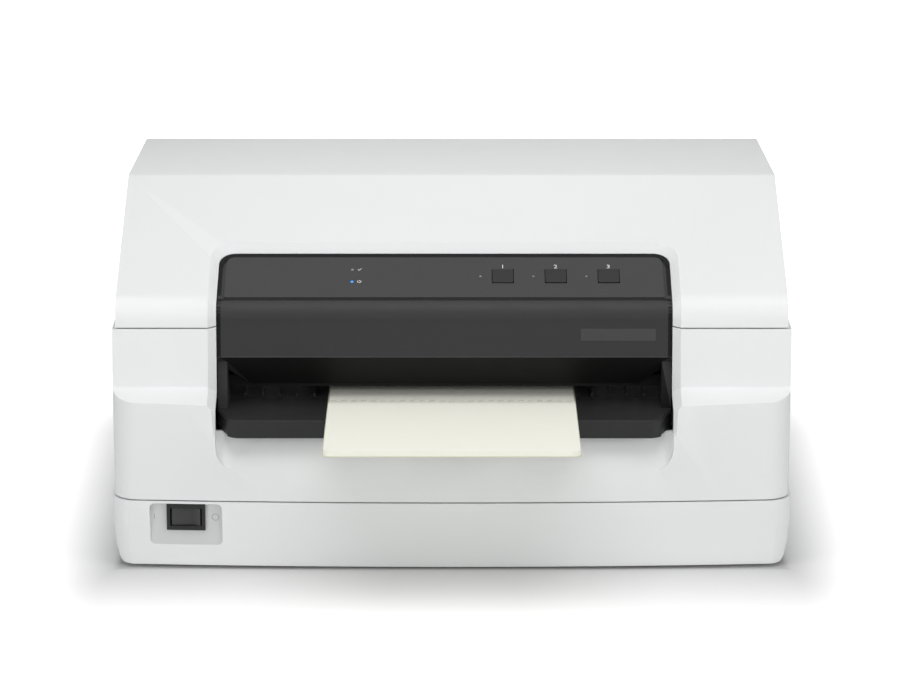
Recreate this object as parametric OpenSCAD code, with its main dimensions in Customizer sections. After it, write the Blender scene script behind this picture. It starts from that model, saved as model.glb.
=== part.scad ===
// Flat-bed passbook printer: a moulded case in three shells over a steel print frame.
// Millimetres. X runs to the right, Z up. Every module measures Y as the depth behind the
// front face of the case; placed() then sets the origin under the middle of the whole outline.

/* [Case] */
// Width of the case across its base
case_w = 388; // [376:1:400]
// Depth of the case from its front face to the back of the hinge
case_d = 280; // [278:1:292]
// Height of the ridge of the lid above the table
case_h = 203; // [200:0.5:210]
// Wall of the plastic shells
wall = 2.5; // [2:0.1:3]
// Height of the rubber feet
foot_h = 2; // [1.5:0.5:4]
// Radius of the rubber feet
foot_r = 9; // [7:0.5:11]
// Height of the seam between the base and the middle shell
base_seam = 41.7; // [41:0.1:44]
// Height of the seam under the lid
lid_seam = 138; // [136:0.5:140]
// Gap between two shells at a seam
seam_gap = 0.8; // [0.5:0.1:1.2]
// How much narrower the middle shell is than the base
middle_draft = 3; // [1:0.5:4]
// How much narrower the lid is than the base
lid_draft = 7; // [4:0.5:10]
// Radius of the bow of the front face in plan
bow_r = 2800; // [1500:100:6000]
// Radius of the front corners in plan
front_corner_r = 15; // [12:1:22]
// Radius of the back corners in plan
back_corner_r = 7; // [4:0.5:12]

/* [Side profile] */
// Slope of the front of the lid, in degrees
lid_slope = 25; // [24:0.5:26]
// Depth of the ridge behind the front face
ridge_d = 133; // [130:1:136]
// Height of the top edge at the back
back_h = 195.5; // [193:0.5:198]
// Depth of the front wall of the lid behind the front face
lid_front = 23; // [21:0.5:25]
// Radius between the front wall and the slope of the lid
lid_bend_r = 16; // [13:0.5:20]
// Height of the crease where the shoulder meets the set-back wall
crease_h = 104; // [102:0.5:106]
// Depth of that crease
crease_d = 19; // [17:0.5:21]
// Height of the front edge of the shoulder
shoulder_h = 97.2; // [96:0.2:100]
// Radius of the front edge of the shoulder
shoulder_r = 5; // [2:0.5:6]
// Height over which the base draws in towards the floor
skirt_h = 32; // [24:1:36]
// How far the base draws in
skirt_d = 5; // [3:0.5:7]

/* [Mouth] */
// Width of the mouth in the front of the case
mouth_w = 259; // [257:0.5:262]
// How far the mouth sits to the left of the middle
mouth_shift = 4.2; // [0:0.1:6]
// Width and depth of the bevel round the mouth
bevel = 4.5; // [3.5:0.1:5]
// Radius of the top corners of the mouth
mouth_corner_r = 14; // [11:0.5:18]
// Depth of the top edge of the bevel
mouth_top = 74.5; // [73:0.5:76]
// Height of the bottom of the mouth
mouth_floor = 80.7; // [80:0.1:81.5]
// Gap between the mouth and what fills it
mouth_gap = 0.4; // [0.3:0.05:0.6]
// Height of the hand scoop under the mouth
scoop_h = 20; // [16:0.5:24]
// Depth of the hand scoop at its top
scoop_d = 9; // [6:0.5:11]
// Radius of the bottom corners of the hand scoop
scoop_r = 12; // [8:0.5:16]

/* [Fascia] */
// Depth of the fascia below the surface of the lid
fascia_set = 5.3; // [5.1:0.1:5.8]
// Thickness of the cheeks beside the slot
cheek_t = 5.5; // [2:0.5:6]
// Thickness of the control panel's film
panel_t = 0.8; // [0.5:0.1:1]
// Width of the control panel
panel_w = 250.6; // [246:0.2:252]
// Length of the control panel along the slope
panel_l = 38; // [36:0.5:39]
// Depth of the middle of the control panel
panel_mid = 51.5; // [51:0.1:52]
// Height of the lower edge of the fascia
visor_h = 120.2; // [118:0.2:122]
// Size of the square key caps
key_size = 12; // [10:0.5:13]
// Distance from key to key
key_pitch = 30.3; // [28:0.1:32]
// Distance of the middle key from the middle of the case
key_mid = 59.5; // [56:0.5:62]
// Travel of the keys
key_travel = 1.2; // [0.6:0.1:1.4]
// Gap round each key cap
key_gap = 0.3; // [0.25:0.05:0.5]

/* [Paper path] */
// Height of the face that the passbook slides on
bed_h = 90.4; // [90:0.1:90.8]
// Depth of the front tray
tray_d = 48; // [46:0.5:50]
// Thickness of the guide plates
guide_t = 2; // [1.5:0.1:2.2]
// Depth of the back edge of the guide plates
guide_back = 215; // [210:1:220]
// Distance between the ribs of the bed
rib_pitch = 10; // [8:0.5:12]
// Opening of the throat between the guide plates
throat = 7.4; // [7:0.1:8]
// Width of the passbook
book_w = 142; // [125:1:148]
// Length of the open passbook
book_l = 210; // [207:1:212]
// Thickness of the open passbook
book_t = 3.4; // [2.6:0.1:3.5]
// How far the passbook sticks out of the case
book_out = 73.6; // [72:0.2:76]
// Gap between the passbook and the bed, and between it and the rollers
book_gap = 0.2; // [0.15:0.05:0.3]

/* [Rollers and gears] */
// Radius of the feed rollers
roller_r = 7.9; // [7.5:0.1:8]
// Radius of the roller shafts
shaft_r = 4; // [3.5:0.1:4.5]
// Width of each rubber sleeve
sleeve_w = 18; // [14:1:22]
// Distance from sleeve to sleeve
sleeve_pitch = 48; // [44:1:50]
// Depth of the front pair of rollers
front_nip = 85; // [84:0.5:86]
// Module of the gears
gear_module = 0.98; // [0.96:0.01:1]
// Teeth of the roller gears
roller_teeth = 20; // [20:1:20]
// Teeth of the gear between them
middle_teeth = 46; // [46:1:46]
// Teeth of the motor pinion
pinion_teeth = 12; // [12:1:12]
// Width of the gear rims
gear_w = 5; // [4:0.5:6]
// Gap between the guide plates and the side frames
side_gap = 0.3; // [0.2:0.05:0.5]
// Radial gap of every shaft in its bore
run_gap = 0.05; // [0.03:0.01:0.08]

/* [Print carriage] */
// Distance of the side frames from the middle of the print frame
frame_x = 137; // [135:0.5:139]
// Thickness of the side frames
frame_t = 2; // [1.6:0.1:2.5]
// Depth of the print line
print_line = 112; // [111:0.5:113]
// Width of the platen bar
platen_w = 10; // [8:0.5:12]
// Gap between the passbook and the print head
head_gap = 0.8; // [0.5:0.1:1.2]
// Depth of the carriage shaft
slide_d = 136; // [135:0.5:137]
// Height of the carriage shaft
slide_h = 120; // [119:0.5:121]
// Radius of the carriage shaft
slide_r = 5; // [4:0.5:6]
// Width of the carriage
carriage_w = 50; // [46:1:54]
// Travel of the carriage to each side
carriage_travel = 100; // [90:1:102]
// Depth of the timing belt's middle
belt_d = 160; // [159:0.5:162]
// Height of the timing belt's pulleys
belt_h = 128; // [126:0.5:130]
// Radius of the timing belt's pulleys
pulley_r = 8; // [7:0.5:9]
// Distance of each pulley from the middle
pulley_x = 120; // [118:0.5:122]

/* [Back] */
// Radius of the hinge barrels
hinge_r = 3; // [2.5:0.25:3.5]
// Radius of the hinge pins
hinge_pin_r = 1.5; // [1.25:0.25:1.75]
// Distance of each hinge from the middle
hinge_x = 140; // [130:1:150]
// Length of each hinge
hinge_w = 36; // [30:1:42]

/* [Hidden] */
$fn = 64;

eps = 0.01;
arc_steps = 8;
mouth_x = -mouth_shift;
back_d = case_d - hinge_r - 0.8;
hinge_d = case_d - hinge_r;
hinge_h = lid_seam;
chassis_h = 12;
chassis_t = 1.5;
screw_d = [70, 155];
rear_nip = front_nip + gear_module * (roller_teeth + middle_teeth);
middle_gear_d = (front_nip + rear_nip) / 2;
lower_axis = bed_h - roller_r;
book_z = bed_h + book_gap;
upper_axis = book_z + book_t + book_gap + roller_r;
pinion_axis = lower_axis - gear_module * (middle_teeth + pinion_teeth) / 2;
book_end = book_l - book_out;
slope_normal = [sin(lid_slope), -cos(lid_slope)];

// Plain colours of the materials
case_colour = "#e6e9e9";
dark_colour = "#3c3c3e";
black_colour = "#1d1d1f";
steel_colour = "#b4b8bc";
rubber_colour = "#2a2a2a";
gear_colour = "#efe9da";

// ---------- outlines ----------

function unit(v) = v / norm(v);
function left(v) = [-v[1], v[0]];
function turned(v, a) = [v[0] * cos(a) - v[1] * sin(a), v[0] * sin(a) + v[1] * cos(a)];
function before(p, i) = p[(i + len(p) - 1) % len(p)];
function after(p, i) = p[(i + 1) % len(p)];
function bend(p, i) = let(
    u = unit(p[i] - before(p, i)),
    v = unit(after(p, i) - p[i]))
    atan2(cross(u, v), u * v);

// A corner of a closed outline, moved inwards by t
function inset_corner(p, i, t) = let(
    nu = left(unit(p[i] - before(p, i))),
    nv = left(unit(after(p, i) - p[i])))
    p[i] + t * (nu + nv) / (1 + nu * nv);
function inset(p, t) = [for (i = [0:len(p) - 1]) inset_corner(p, i, t)];

// The arc that rounds a corner with radius r
function corner_arc(p, i, r) = let(
    u = unit(p[i] - before(p, i)),
    a = bend(p, i),
    out = -sign(a) * r * left(u),
    centre = p[i] - u * r * tan(abs(a) / 2) - out)
    r <= 0 ? [p[i]] : [for (k = [0:arc_steps]) centre + turned(out, a * k / arc_steps)];
function rounded(p, r) = [for (i = [0:len(p) - 1]) each corner_arc(p, i, r[i])];

// Height of the slope of the lid at a depth d
function slope_h(d) = case_h - (ridge_d - d) * tan(lid_slope);

// Side profile of the case, anticlockwise from the bottom of the front
side_points = [
    [0, foot_h], [back_d, foot_h], [back_d, back_h], [ridge_d, case_h],
    [lid_front, slope_h(lid_front)], [lid_front, lid_seam],
    [crease_d, crease_h], [1, shoulder_h], [0, base_seam]];
side_radii = [0, 0, 6, 5, lid_bend_r, 0, 2, shoulder_r, 0];
at_bend = 4;
at_seam = 5;
at_crease = 6;
at_shoulder = 7;

// A convex corner's radius shrinks inwards and a hollow corner's grows
function side_radius(i, t) = side_radii[i] <= 0 ? 0
    : max(0.4, side_radii[i] - sign(bend(side_points, i)) * t);
function side_outline(t) = rounded(inset(side_points, t),
    [for (i = [0:len(side_points) - 1]) side_radius(i, t)]);

function bow(x, t) = bow_r - sqrt((bow_r - t) * (bow_r - t) - x * x);
function plan_outline(w, t) = let(
    half = w / 2 - t,
    reach = half - front_corner_r + t,
    n = 14,
    corners = [[half, bow(half, t)], [half, back_d - t], [-half, back_d - t], [-half, bow(half, t)]],
    radii = [front_corner_r - t, back_corner_r - t, back_corner_r - t, front_corner_r - t],
    round = rounded(concat([[-reach, bow(reach, t)], [reach, bow(reach, t)]], corners),
        concat([0, 0], radii)))
    concat([for (k = [1 - n:n - 1]) [reach * k / n, bow(reach * k / n, t)]],
        [for (k = [1:len(round) - 1]) round[k]], [round[0]]);

// ---------- building blocks ----------

module placed() {
    translate([0, (book_out - case_d) / 2, 0]) children();
}

module box(x, d, z) {
    translate([x[0], d[0], z[0]]) cube([x[1] - x[0], d[1] - d[0], z[1] - z[0]]);
}

// A Y-Z outline run from x0 to x1
module along_x(x0, x1) {
    translate([x0, 0, 0]) rotate([90, 0, 90]) linear_extrude(x1 - x0) children();
}

module rod_x(d, z, r, x0, x1) {
    translate([x0, d, z]) rotate([0, 90, 0]) cylinder(r = r, h = x1 - x0);
}

module rod_y(x, z, r, d0, d1) {
    translate([x, d0, z]) rotate([-90, 0, 0]) cylinder(r = r, h = d1 - d0);
}

// Local frame on the slope of the lid: X right, Y up the slope, Z out of the surface
module on_slope(d) {
    translate([0, d, slope_h(d)]) rotate([lid_slope, 0, 0]) children();
}

module slab(z0, z1) {
    box([-case_w, case_w], [-case_d, 2 * case_d], [z0, z1]);
}

// Solid between rings of points; each ring mirrors its first half in its second half
module loft(rings) {
    n = len(rings[0]);
    last = len(rings) - 1;
    polyhedron([for (r = rings) each r], concat(
        [for (j = [0:last - 1], i = [0:n - 1]) let(k = (i + 1) % n)
            each [[j * n + i, j * n + k, (j + 1) * n + k], [j * n + i, (j + 1) * n + k, (j + 1) * n + i]]],
        [for (i = [0:n / 2 - 2]) let(o = n - 1 - i)
            each [[i, o, o - 1], [i, o - 1, i + 1]]],
        [for (i = [0:n / 2 - 2]) let(o = n - 1 - i, b = last * n)
            each [[b + i, b + o - 1, b + o], [b + i, b + i + 1, b + o - 1]]]));
}

// How far the base is drawn in at a height, as [drawn in, height], from the floor up to the seam
function skirt_line(t) = [
    [skirt_d + t, foot_h + t - eps], [skirt_d * 0.7 + t, foot_h + t + skirt_h * 0.1],
    [skirt_d * 0.36 + t, foot_h + t + skirt_h * 0.35], [t - 0.3, foot_h + t + skirt_h],
    [t - 0.3, base_seam + 5]];

// The base draws in towards the floor at the sides, along the bowed front and round its corners
module base_block(t) {
    half = base_w / 2;
    line = skirt_line(t);
    top = base_seam + 5;
    x = half - front_corner_r;
    d = bow_r - sqrt((bow_r - front_corner_r) * (bow_r - front_corner_r) - x * x);
    difference() {
        intersection() {
            translate([0, 0, foot_h + t]) linear_extrude(base_seam + 4 - foot_h)
                polygon(plan_outline(base_w, t));
            translate([0, -10, 0]) rotate([90, 0, 0]) mirror([0, 0, 1]) linear_extrude(case_d + 20)
                polygon(concat([for (p = line) [half - p[0], p[1]]],
                    [for (k = [len(line) - 1:-1:0]) [line[k][0] - half, line[k][1]]]));
            translate([0, bow_r, 0]) rotate_extrude($fn = 720)
                polygon(concat([for (p = line) [bow_r - p[0], p[1]]], [[0, top], [0, line[0][1]]]));
        }
        for (side = [0, 1]) mirror([side, 0, 0]) difference() {
            box([x, half + 10], [-20, d], [0, top]);
            translate([x, d, 0]) rotate_extrude() polygon(concat(
                [for (p = line) [front_corner_r + 0.3 - p[0], p[1]]], [[0, top + 1], [0, -1]],
                [[front_corner_r + 0.3 - line[0][0], -1]]));
        }
    }
}

module case_block(w, t) {
    intersection() {
        along_x(-w, w) polygon(side_outline(t));
        linear_extrude(case_h + 1) polygon(plan_outline(w, t));
    }
}

module case_shell(w, z0, z1) {
    intersection() {
        difference() {
            case_block(w, 0);
            case_block(w, wall);
        }
        slab(z0, z1);
    }
}

// ---------- the bevelled mouth ----------

top_edge = [mouth_top, slope_h(mouth_top)];
down_slope = -[cos(lid_slope), sin(lid_slope)];

// Sections up the mouth at a depth t: each is [half width, [depth, height]]
function mouth_half(t, t_max) = mouth_w / 2 + bevel - min(t, t_max);
function mouth_sections(t, t_max) = let(
    half = mouth_half(t, t_max),
    shrink = min(t, t_max),
    line = inset(side_points, t),
    curve = corner_arc(line, at_bend, lid_bend_r - t))
    concat(
        [[half, [line[at_shoulder + 1][0], mouth_floor]], [half, line[at_shoulder]], [half, line[at_crease]],
            [half, line[at_seam]]],
        [for (k = [arc_steps:-1:0]) [half, curve[k]]],
        [for (k = [0:arc_steps]) let(a = 90 * k / arc_steps, r = mouth_corner_r - shrink)
            [mouth_w / 2 + bevel - mouth_corner_r + r * cos(a),
                top_edge + down_slope * (mouth_corner_r - r * sin(a)) + slope_normal * t]]);

function ring_points(s) = concat(
    [for (p = s) [mouth_x + p[0], p[1][0], p[1][1]]],
    [for (k = [len(s) - 1:-1:0]) [mouth_x - s[k][0], s[k][1][0], s[k][1][1]]]);

mouth_depths = [-2, bevel, bevel + wall + 4];

// Solid that cuts the mouth: a bevel down to its own depth, then straight on to the last depth
module mouth_cutter(depths) {
    loft([for (t = depths) ring_points(mouth_sections(t, bevel))]);
}

module mouth_rim(w, z0, z1) {
    reach = mouth_w / 2 + bevel + wall;
    intersection() {
        difference() {
            case_block(w, 0);
            case_block(w, bevel + wall);
        }
        box([mouth_x - reach, mouth_x + reach], [-1, mouth_top + wall * 2], [z0, z1]);
    }
}

// ---------- case ----------

base_w = case_w;
middle_w = case_w - middle_draft;
lid_w = case_w - lid_draft;

switch_x = -151.2;
switch_z = 31.7;
plate_h = 24.8;
recess_w = 41.4;
recess_d = 2.2;

// Local frame of the power switch on the bowed face: X right, Y into the case, Z up
module at_switch() {
    translate([switch_x, bow(switch_x, 0), switch_z]) rotate([0, 0, asin(switch_x / bow_r)]) children();
}

// Scoop whose slanted back follows the bow of the front face; it starts a little outside that face
module scoop(grow) {
    low = mouth_floor - scoop_h - grow;
    lead = 2;
    intersection() {
        translate([0, bow_r, 0]) rotate_extrude($fn = 720) polygon([
            [bow_r + 5, low - lead], [bow_r - grow + lead * scoop_d / scoop_h, low - lead],
            [bow_r - scoop_d - grow, mouth_floor], [bow_r - scoop_d - grow, mouth_floor + 2],
            [bow_r + 5, mouth_floor + 2]]);
        translate([mouth_x, -5, low - lead / 4]) rotate([90, 0, 0]) mirror([0, 0, 1])
            linear_extrude(60) polygon(rounded(
                [[-mouth_w / 2 - grow, 0], [mouth_w / 2 + grow, 0],
                    [mouth_w / 2 + grow, scoop_h + grow + lead], [-mouth_w / 2 - grow, scoop_h + grow + lead]],
                [scoop_r + grow, scoop_r + grow, 0, 0]));
    }
}

// Ribbed feet of the chassis that stand on the floor of the base
module base_bosses() {
    for (x = [-120, 120], d = screw_d)
        translate([x, d, foot_h + wall - eps]) difference() {
            cylinder(r = 5, h = chassis_h - foot_h - wall + eps);
            translate([0, 0, 2]) cylinder(r = 1.6, h = chassis_h);
        }
}

// Tongue that stands inside the middle shell
module base_tongue(w, t, z0, z1) {
    intersection() {
        difference() {
            case_block(w, t);
            case_block(middle_w, wall * 2);
        }
        slab(z0, z1);
        box([-case_w, case_w], [30, case_d], [0, case_h]);
    }
}

module bottom_case() {
    color(case_colour) difference() {
        union() {
            intersection() {
                difference() {
                    base_block(0);
                    base_block(wall);
                }
                slab(foot_h, base_seam - seam_gap / 2);
            }
            base_tongue(base_w, wall - eps, base_seam - 4.5, base_seam - 1);
            base_tongue(middle_w, wall + 0.15, base_seam - 1 - eps, base_seam + 2);
            base_bosses();
        }
        // Recess and hole of the power switch
        at_switch() {
            translate([0, recess_d, 8.2 - plate_h / 2]) rotate([90, 0, 0]) linear_extrude(10)
                polygon(rounded([[-recess_w / 2, -plate_h / 2], [recess_w / 2, -plate_h / 2],
                    [recess_w / 2, plate_h / 2], [-recess_w / 2, plate_h / 2]], [3, 3, 3, 3]));
            box([-10, 10], [-2, 12], [-6.2, 6.2]);
        }
        // Cooling slots in the floor and the sides
        for (x = [-40:10:60]) box([x, x + 4], [120, 180], [0, foot_h + wall + 1]);
        for (d = [150:9:231], side = [-1, 1])
            box([side * case_w / 2 - 5, side * case_w / 2 + 5], [d, d + 4], [22, 34]);
        // Back openings for the power inlet and the connectors
        box([-inlet_w / 2 + inlet_x, inlet_w / 2 + inlet_x], [back_d - 10, case_d], [inlet_z, inlet_z + inlet_h]);
        box([plate_x[0] + 2, plate_x[1] - 2], [back_d - 10, case_d], [plate_z[0] + 2, plate_z[1] - 2]);
    }
}

inlet_x = -150;
inlet_w = 27.4;
inlet_h = 19.6;
inlet_z = 12;
plate_x = [40, 150];
plate_z = [11, 37];

exit_z = [bed_h - guide_t - 3, bed_h + 8];

module middle_case() {
    color(case_colour) difference() {
        union() {
            case_shell(middle_w, base_seam + seam_gap / 2, lid_seam - seam_gap / 2);
            mouth_rim(middle_w, mouth_floor - 4, lid_seam - seam_gap / 2);
            intersection() {
                case_block(middle_w, 0);
                scoop(wall);
                slab(base_seam + 2, mouth_floor);
            }
            for (x = [-hinge_x, hinge_x]) middle_knuckles(x);
        }
        scoop(0);
        mouth_cutter(mouth_depths);
        // Paper exit at the back
        box([-130, 130], [back_d - 8, case_d + 1], exit_z);
        for (x = [-hinge_x, hinge_x]) {
            hinge_relief(x, [0, 1]);
            rod_x(hinge_d, hinge_h, hinge_pin_r, x - hinge_w / 2, x + hinge_w / 2);
        }
    }
}

module top_cover() {
    color(case_colour) difference() {
        union() {
            case_shell(lid_w, lid_seam + seam_gap / 2, case_h + 1);
            mouth_rim(lid_w, lid_seam + seam_gap / 2, case_h);
            for (x = [-hinge_x, hinge_x]) lid_knuckle(x);
            // Stiffening ribs under the roof
            for (x = [-100, 0, 100]) intersection() {
                difference() {
                    case_block(lid_w, wall - eps);
                    case_block(lid_w, wall + 5);
                }
                box([x - 0.8, x + 0.8], [mouth_top + 12, back_d - 20], [lid_seam + 30, case_h]);
            }
        }
        mouth_cutter(mouth_depths);
        for (x = [-hinge_x, hinge_x]) {
            hinge_relief(x, [-1, 0]);
            rod_x(hinge_d, hinge_h, hinge_pin_r + run_gap, x - hinge_w / 2 - 0.2, x + hinge_w / 2 + 0.2);
        }
    }
}

// ---------- hinges ----------

function knuckle(x, k) = [x - hinge_w / 2 + hinge_w / 3 * k + 0.2, x - hinge_w / 2 + hinge_w / 3 * (k + 1) - 0.2];

module barrel(x) {
    rod_x(hinge_d, hinge_h, hinge_r, x[0], x[1]);
}

module middle_knuckles(x) {
    for (k = [0, 2]) difference() {
        union() {
            barrel(knuckle(x, k));
            box(knuckle(x, k), [back_d - wall, hinge_d], [hinge_h - 7, hinge_h - seam_gap]);
        }
        rod_x(hinge_d, hinge_h, hinge_pin_r, x - hinge_w, x + hinge_w);
    }
}

module lid_knuckle(x) {
    difference() {
        union() {
            barrel(knuckle(x, 1));
            box(knuckle(x, 1), [back_d - wall, hinge_d], [hinge_h + seam_gap, hinge_h + 7]);
        }
        rod_x(hinge_d, hinge_h, hinge_pin_r + run_gap, x - hinge_w, x + hinge_w);
    }
}

// Room for the other half's barrels and for the pin
module hinge_relief(x, half) {
    for (k = half[0] == 0 ? [1] : [0, 2])
        rod_x(hinge_d, hinge_h, hinge_r + 0.5, knuckle(x, k)[0] - 0.2, knuckle(x, k)[1] + 0.2);
}

module hinge_pins() {
    color(steel_colour) for (x = [-hinge_x, hinge_x])
        rod_x(hinge_d, hinge_h, hinge_pin_r, x - hinge_w / 2, x + hinge_w / 2);
}

// ---------- fascia ----------

fascia_w = mouth_w - 2 * mouth_gap;
fascia_x = [mouth_x - fascia_w / 2, mouth_x + fascia_w / 2];

module panel_plane(depth) {
    on_slope(panel_mid) translate([0, 0, -depth]) children();
}

module key_positions() {
    for (k = [-1:1]) translate([key_mid + k * key_pitch, 0, 0]) children();
}

// Skin of the fascia between two depths under the case's surface
module fascia_skin(t0, t1) {
    intersection() {
        difference() {
            along_x(fascia_x[0], fascia_x[1]) polygon(side_outline(t0));
            along_x(fascia_x[0] - 1, fascia_x[1] + 1) polygon(side_outline(t1));
        }
        translate([0, down_slope[0] * mouth_gap, down_slope[1] * mouth_gap]) mouth_cutter(mouth_depths);
        box(fascia_x, [0, mouth_top], [visor_h, case_h]);
    }
}

visor_out = [crease_d + fascia_set + 1.6, visor_h];
visor_in = [45, bed_h + throat + guide_t];

module front_fascia() {
    color(dark_colour) difference() {
        union() {
            fascia_skin(fascia_set, fascia_set + wall);
            // Funnel under the visor, with cut ends
            intersection() {
                along_x(fascia_x[0], fascia_x[1]) polygon([
                    visor_out, visor_in, visor_in + [0, wall], visor_out + [wall, wall]]);
                translate([mouth_x, 0, 0]) rotate([90, 0, 0]) mirror([0, 0, 1]) linear_extrude(100)
                    polygon([[-fascia_w / 2, visor_h + wall], [-fascia_w / 2, visor_h - 4],
                        [-fascia_w / 2 + 18, visor_in[1] - eps], [fascia_w / 2 - 18, visor_in[1] - eps],
                        [fascia_w / 2, visor_h - 4], [fascia_w / 2, visor_h + wall]]);
            }
            // Side cheeks that carry the fascia on the bed
            for (side = [-1, 1]) {
                x = mouth_x + side * (fascia_w / 2 - cheek_t / 2);
                along_x(x - cheek_t / 2, x + cheek_t / 2) polygon([
                    [crease_d + fascia_set + 2, bed_h], [visor_in[0], bed_h], [visor_in[0], lid_seam],
                    [lid_front + fascia_set + 3, lid_seam]]);
            }
        }
        // Groove between the panel and the lower facet
        panel_plane(fascia_set) translate([fascia_x[0] - 1, -panel_l / 2 - 1.7, 0])
            rotate([0, 90, 0]) cylinder(r = 1.2, h = fascia_w + 2);
        panel_plane(fascia_set) {
            key_positions() cube([key_size + 2 * key_gap, key_size + 2 * key_gap, 30], center = true);
            key_positions() translate([-key_size - 0.8, 0, 0]) cylinder(r = 1, h = 30, center = true);
            for (y = lens_y) translate([lens_x, y, 0]) cylinder(r = 1.4, h = 30, center = true);
        }
    }
}

lens_x = -57;
lens_y = [-4.9, 6];

module control_panel() {
    half = panel_w / 2;
    color("#4b4b4d") panel_plane(fascia_set - eps) difference() {
        translate([mouth_x, 0, 0]) linear_extrude(panel_t) polygon(rounded(
            [[-half, -panel_l / 2], [half, -panel_l / 2], [half, panel_l / 2], [-half, panel_l / 2]],
            [1, 1, 8, 8]));
        key_positions() cube([key_size + 2 * key_gap, key_size + 2 * key_gap, 30], center = true);
        key_positions() translate([-key_size - 0.8, 0, 0]) cylinder(r = 0.7, h = 30, center = true);
        for (y = lens_y) translate([lens_x, y, 0]) cylinder(r = 0.9, h = 30, center = true);
    }
}

key_top = fascia_set - panel_t - 0.5;
key_flange = fascia_set + wall + 0.3;
board_depth = key_flange + 1 + key_travel + 1.9;

module key_cap(k) {
    half = key_size / 2;
    color("#323234") panel_plane(key_flange + 1) translate([key_mid + k * key_pitch, 0, 0]) {
        translate([-half - 1, -half - 1, 0]) cube([key_size + 2, key_size + 2, 1]);
        linear_extrude(key_flange + 1 - key_top) polygon(rounded(
            [[-half, -half], [half, -half], [half, half], [-half, half]], [1, 1, 1, 1]));
    }
}

module left_key() {
    key_cap(-1);
}

module middle_key() {
    key_cap(0);
}

module right_key() {
    key_cap(1);
}

module panel_board() {
    color("#2c6b3f") panel_plane(board_depth + 1.6) {
        translate([mouth_x - 110, -14, 0]) cube([220, 28, 1.6]);
        key_positions() translate([-3, -3, 1.6 - eps]) cube([6, 6, 1.7 + eps]);
        for (x = [-115, 107]) translate([mouth_x + x, -10, 0])
            cube([8, 20, board_depth + 1.6 - fascia_set - wall]);
    }
}

module lens(x, y, r) {
    panel_plane(board_depth - eps) translate([x, y, 0])
        cylinder(r = r, h = board_depth - fascia_set + panel_t);
}

module power_lens() {
    color("#2f8fe8") lens(lens_x, lens_y[0], 0.9 - run_gap);
}

module ready_lens() {
    color("#d8d8d8") lens(lens_x, lens_y[1], 0.9 - run_gap);
}

module key_lenses() {
    color("#9a9a9a") for (k = [-1:1]) lens(key_mid + k * key_pitch - key_size - 0.8, 0, 0.7 - run_gap);
}

// ---------- paper path ----------

// Outline of the tray from above; its front corners run back at a slant
function tray_outline(t) = let(half = fascia_w / 2)
    inset([[-half + tray_corner[0], tray_front], [half - tray_corner[0], tray_front], [half, tray_corner[1]],
        [half, tray_d], [-half, tray_d], [-half, tray_corner[1]]], t);
tray_corner = [8, 21];
tray_front = -0.4;

module front_tray() {
    color(black_colour) translate([mouth_x, 0, 0]) difference() {
        union() {
            translate([0, 0, mouth_floor + 0.2]) linear_extrude(bed_h - mouth_floor - 0.2)
                polygon(rounded(tray_outline(0), [8, 8, 10, 0, 0, 10]));
            // Front edge, turned down over the hand scoop
            intersection() {
                translate([0, 0, mouth_floor - 0.7]) linear_extrude(2)
                    polygon(rounded(tray_outline(0), [8, 8, 10, 0, 0, 10]));
                box([-mouth_w, mouth_w], [-5, 4], [0, case_h]);
            }
        }
        translate([0, 0, mouth_floor - 1]) linear_extrude(bed_h - mouth_floor - 1.6)
            polygon(rounded(tray_outline(2.5), [5.5, 5.5, 7.5, 0, 0, 7.5]));
        // Fine step along the front of the tray
        translate([0, 0, bed_h - 0.6]) linear_extrude(1) difference() {
            square([400, 400], center = true);
            polygon(rounded(tray_outline(0.8), [7.2, 7.2, 9.2, 0, 0, 9.2]));
        }
    }
}

module sleeve_windows(z0, z1) {
    for (k = [-2:2], d = [front_nip, rear_nip])
        box([k * sleeve_pitch - sleeve_w / 2 - 1.5, k * sleeve_pitch + sleeve_w / 2 + 1.5],
            [d - roller_r - 1, d + roller_r + 1], [z0, z1]);
}

module lower_paper_guide() {
    half = frame_x - side_gap;
    color(black_colour) difference() {
        union() {
            box([-half, half], [tray_d + 0.1, guide_back], [bed_h - guide_t, bed_h]);
            // Ribs beside the passbook's lane
            for (k = [-11.5:11.5]) if (abs(k * rib_pitch + mouth_x) > book_w / 2 + 5)
                box([k * rib_pitch + mouth_x - 0.6, k * rib_pitch + mouth_x + 0.6],
                    [tray_d + 3, front_nip - 11], [bed_h - eps, bed_h + 1.6]);
            // Turned-down edges
            box([-half, half], [tray_d + 0.1, tray_d + 2.1], [bed_h - 8, bed_h - eps]);
            box([-half, half], [guide_back - 2, guide_back], [bed_h - 8, bed_h - eps]);
        }
        sleeve_windows(bed_h - 9, bed_h + 2);
        box([-frame_x, frame_x], [print_line - platen_w / 2 - side_gap, print_line + platen_w / 2 + side_gap],
            [bed_h - 9, bed_h - guide_t + 0.5]);
        box([-frame_x + 8, frame_x - 8], [print_line - platen_w / 2 - side_gap, print_line + platen_w / 2 + side_gap],
            [bed_h - 9, bed_h + 2]);
        for (k = [-2:2]) box([k * 40 - 7, k * 40 + 7], [book_end + 0.2, book_end + 3.4], [bed_h - 9, bed_h + 2]);
    }
}

module upper_guide(d0, d1) {
    half = frame_x - side_gap;
    z = bed_h + throat;
    color(black_colour) difference() {
        union() {
            box([-half, half], [d0, d1], [z, z + guide_t]);
            box([-half, half], [d0, d0 + 2], [z, z + 7]);
            box([-half, half], [d1 - 2, d1], [z, z + 7]);
            for (x = [-half + 2, half]) box([x - 2, x], [d0, d1], [z, z + 7]);
        }
        sleeve_windows(z - 1, z + 8);
    }
}

module front_upper_guide() {
    upper_guide(visor_in[0] + 1, front_nip - shaft_r - 1);
}

module rear_upper_guide() {
    upper_guide(rear_nip + shaft_r + 1, guide_back);
}

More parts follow.
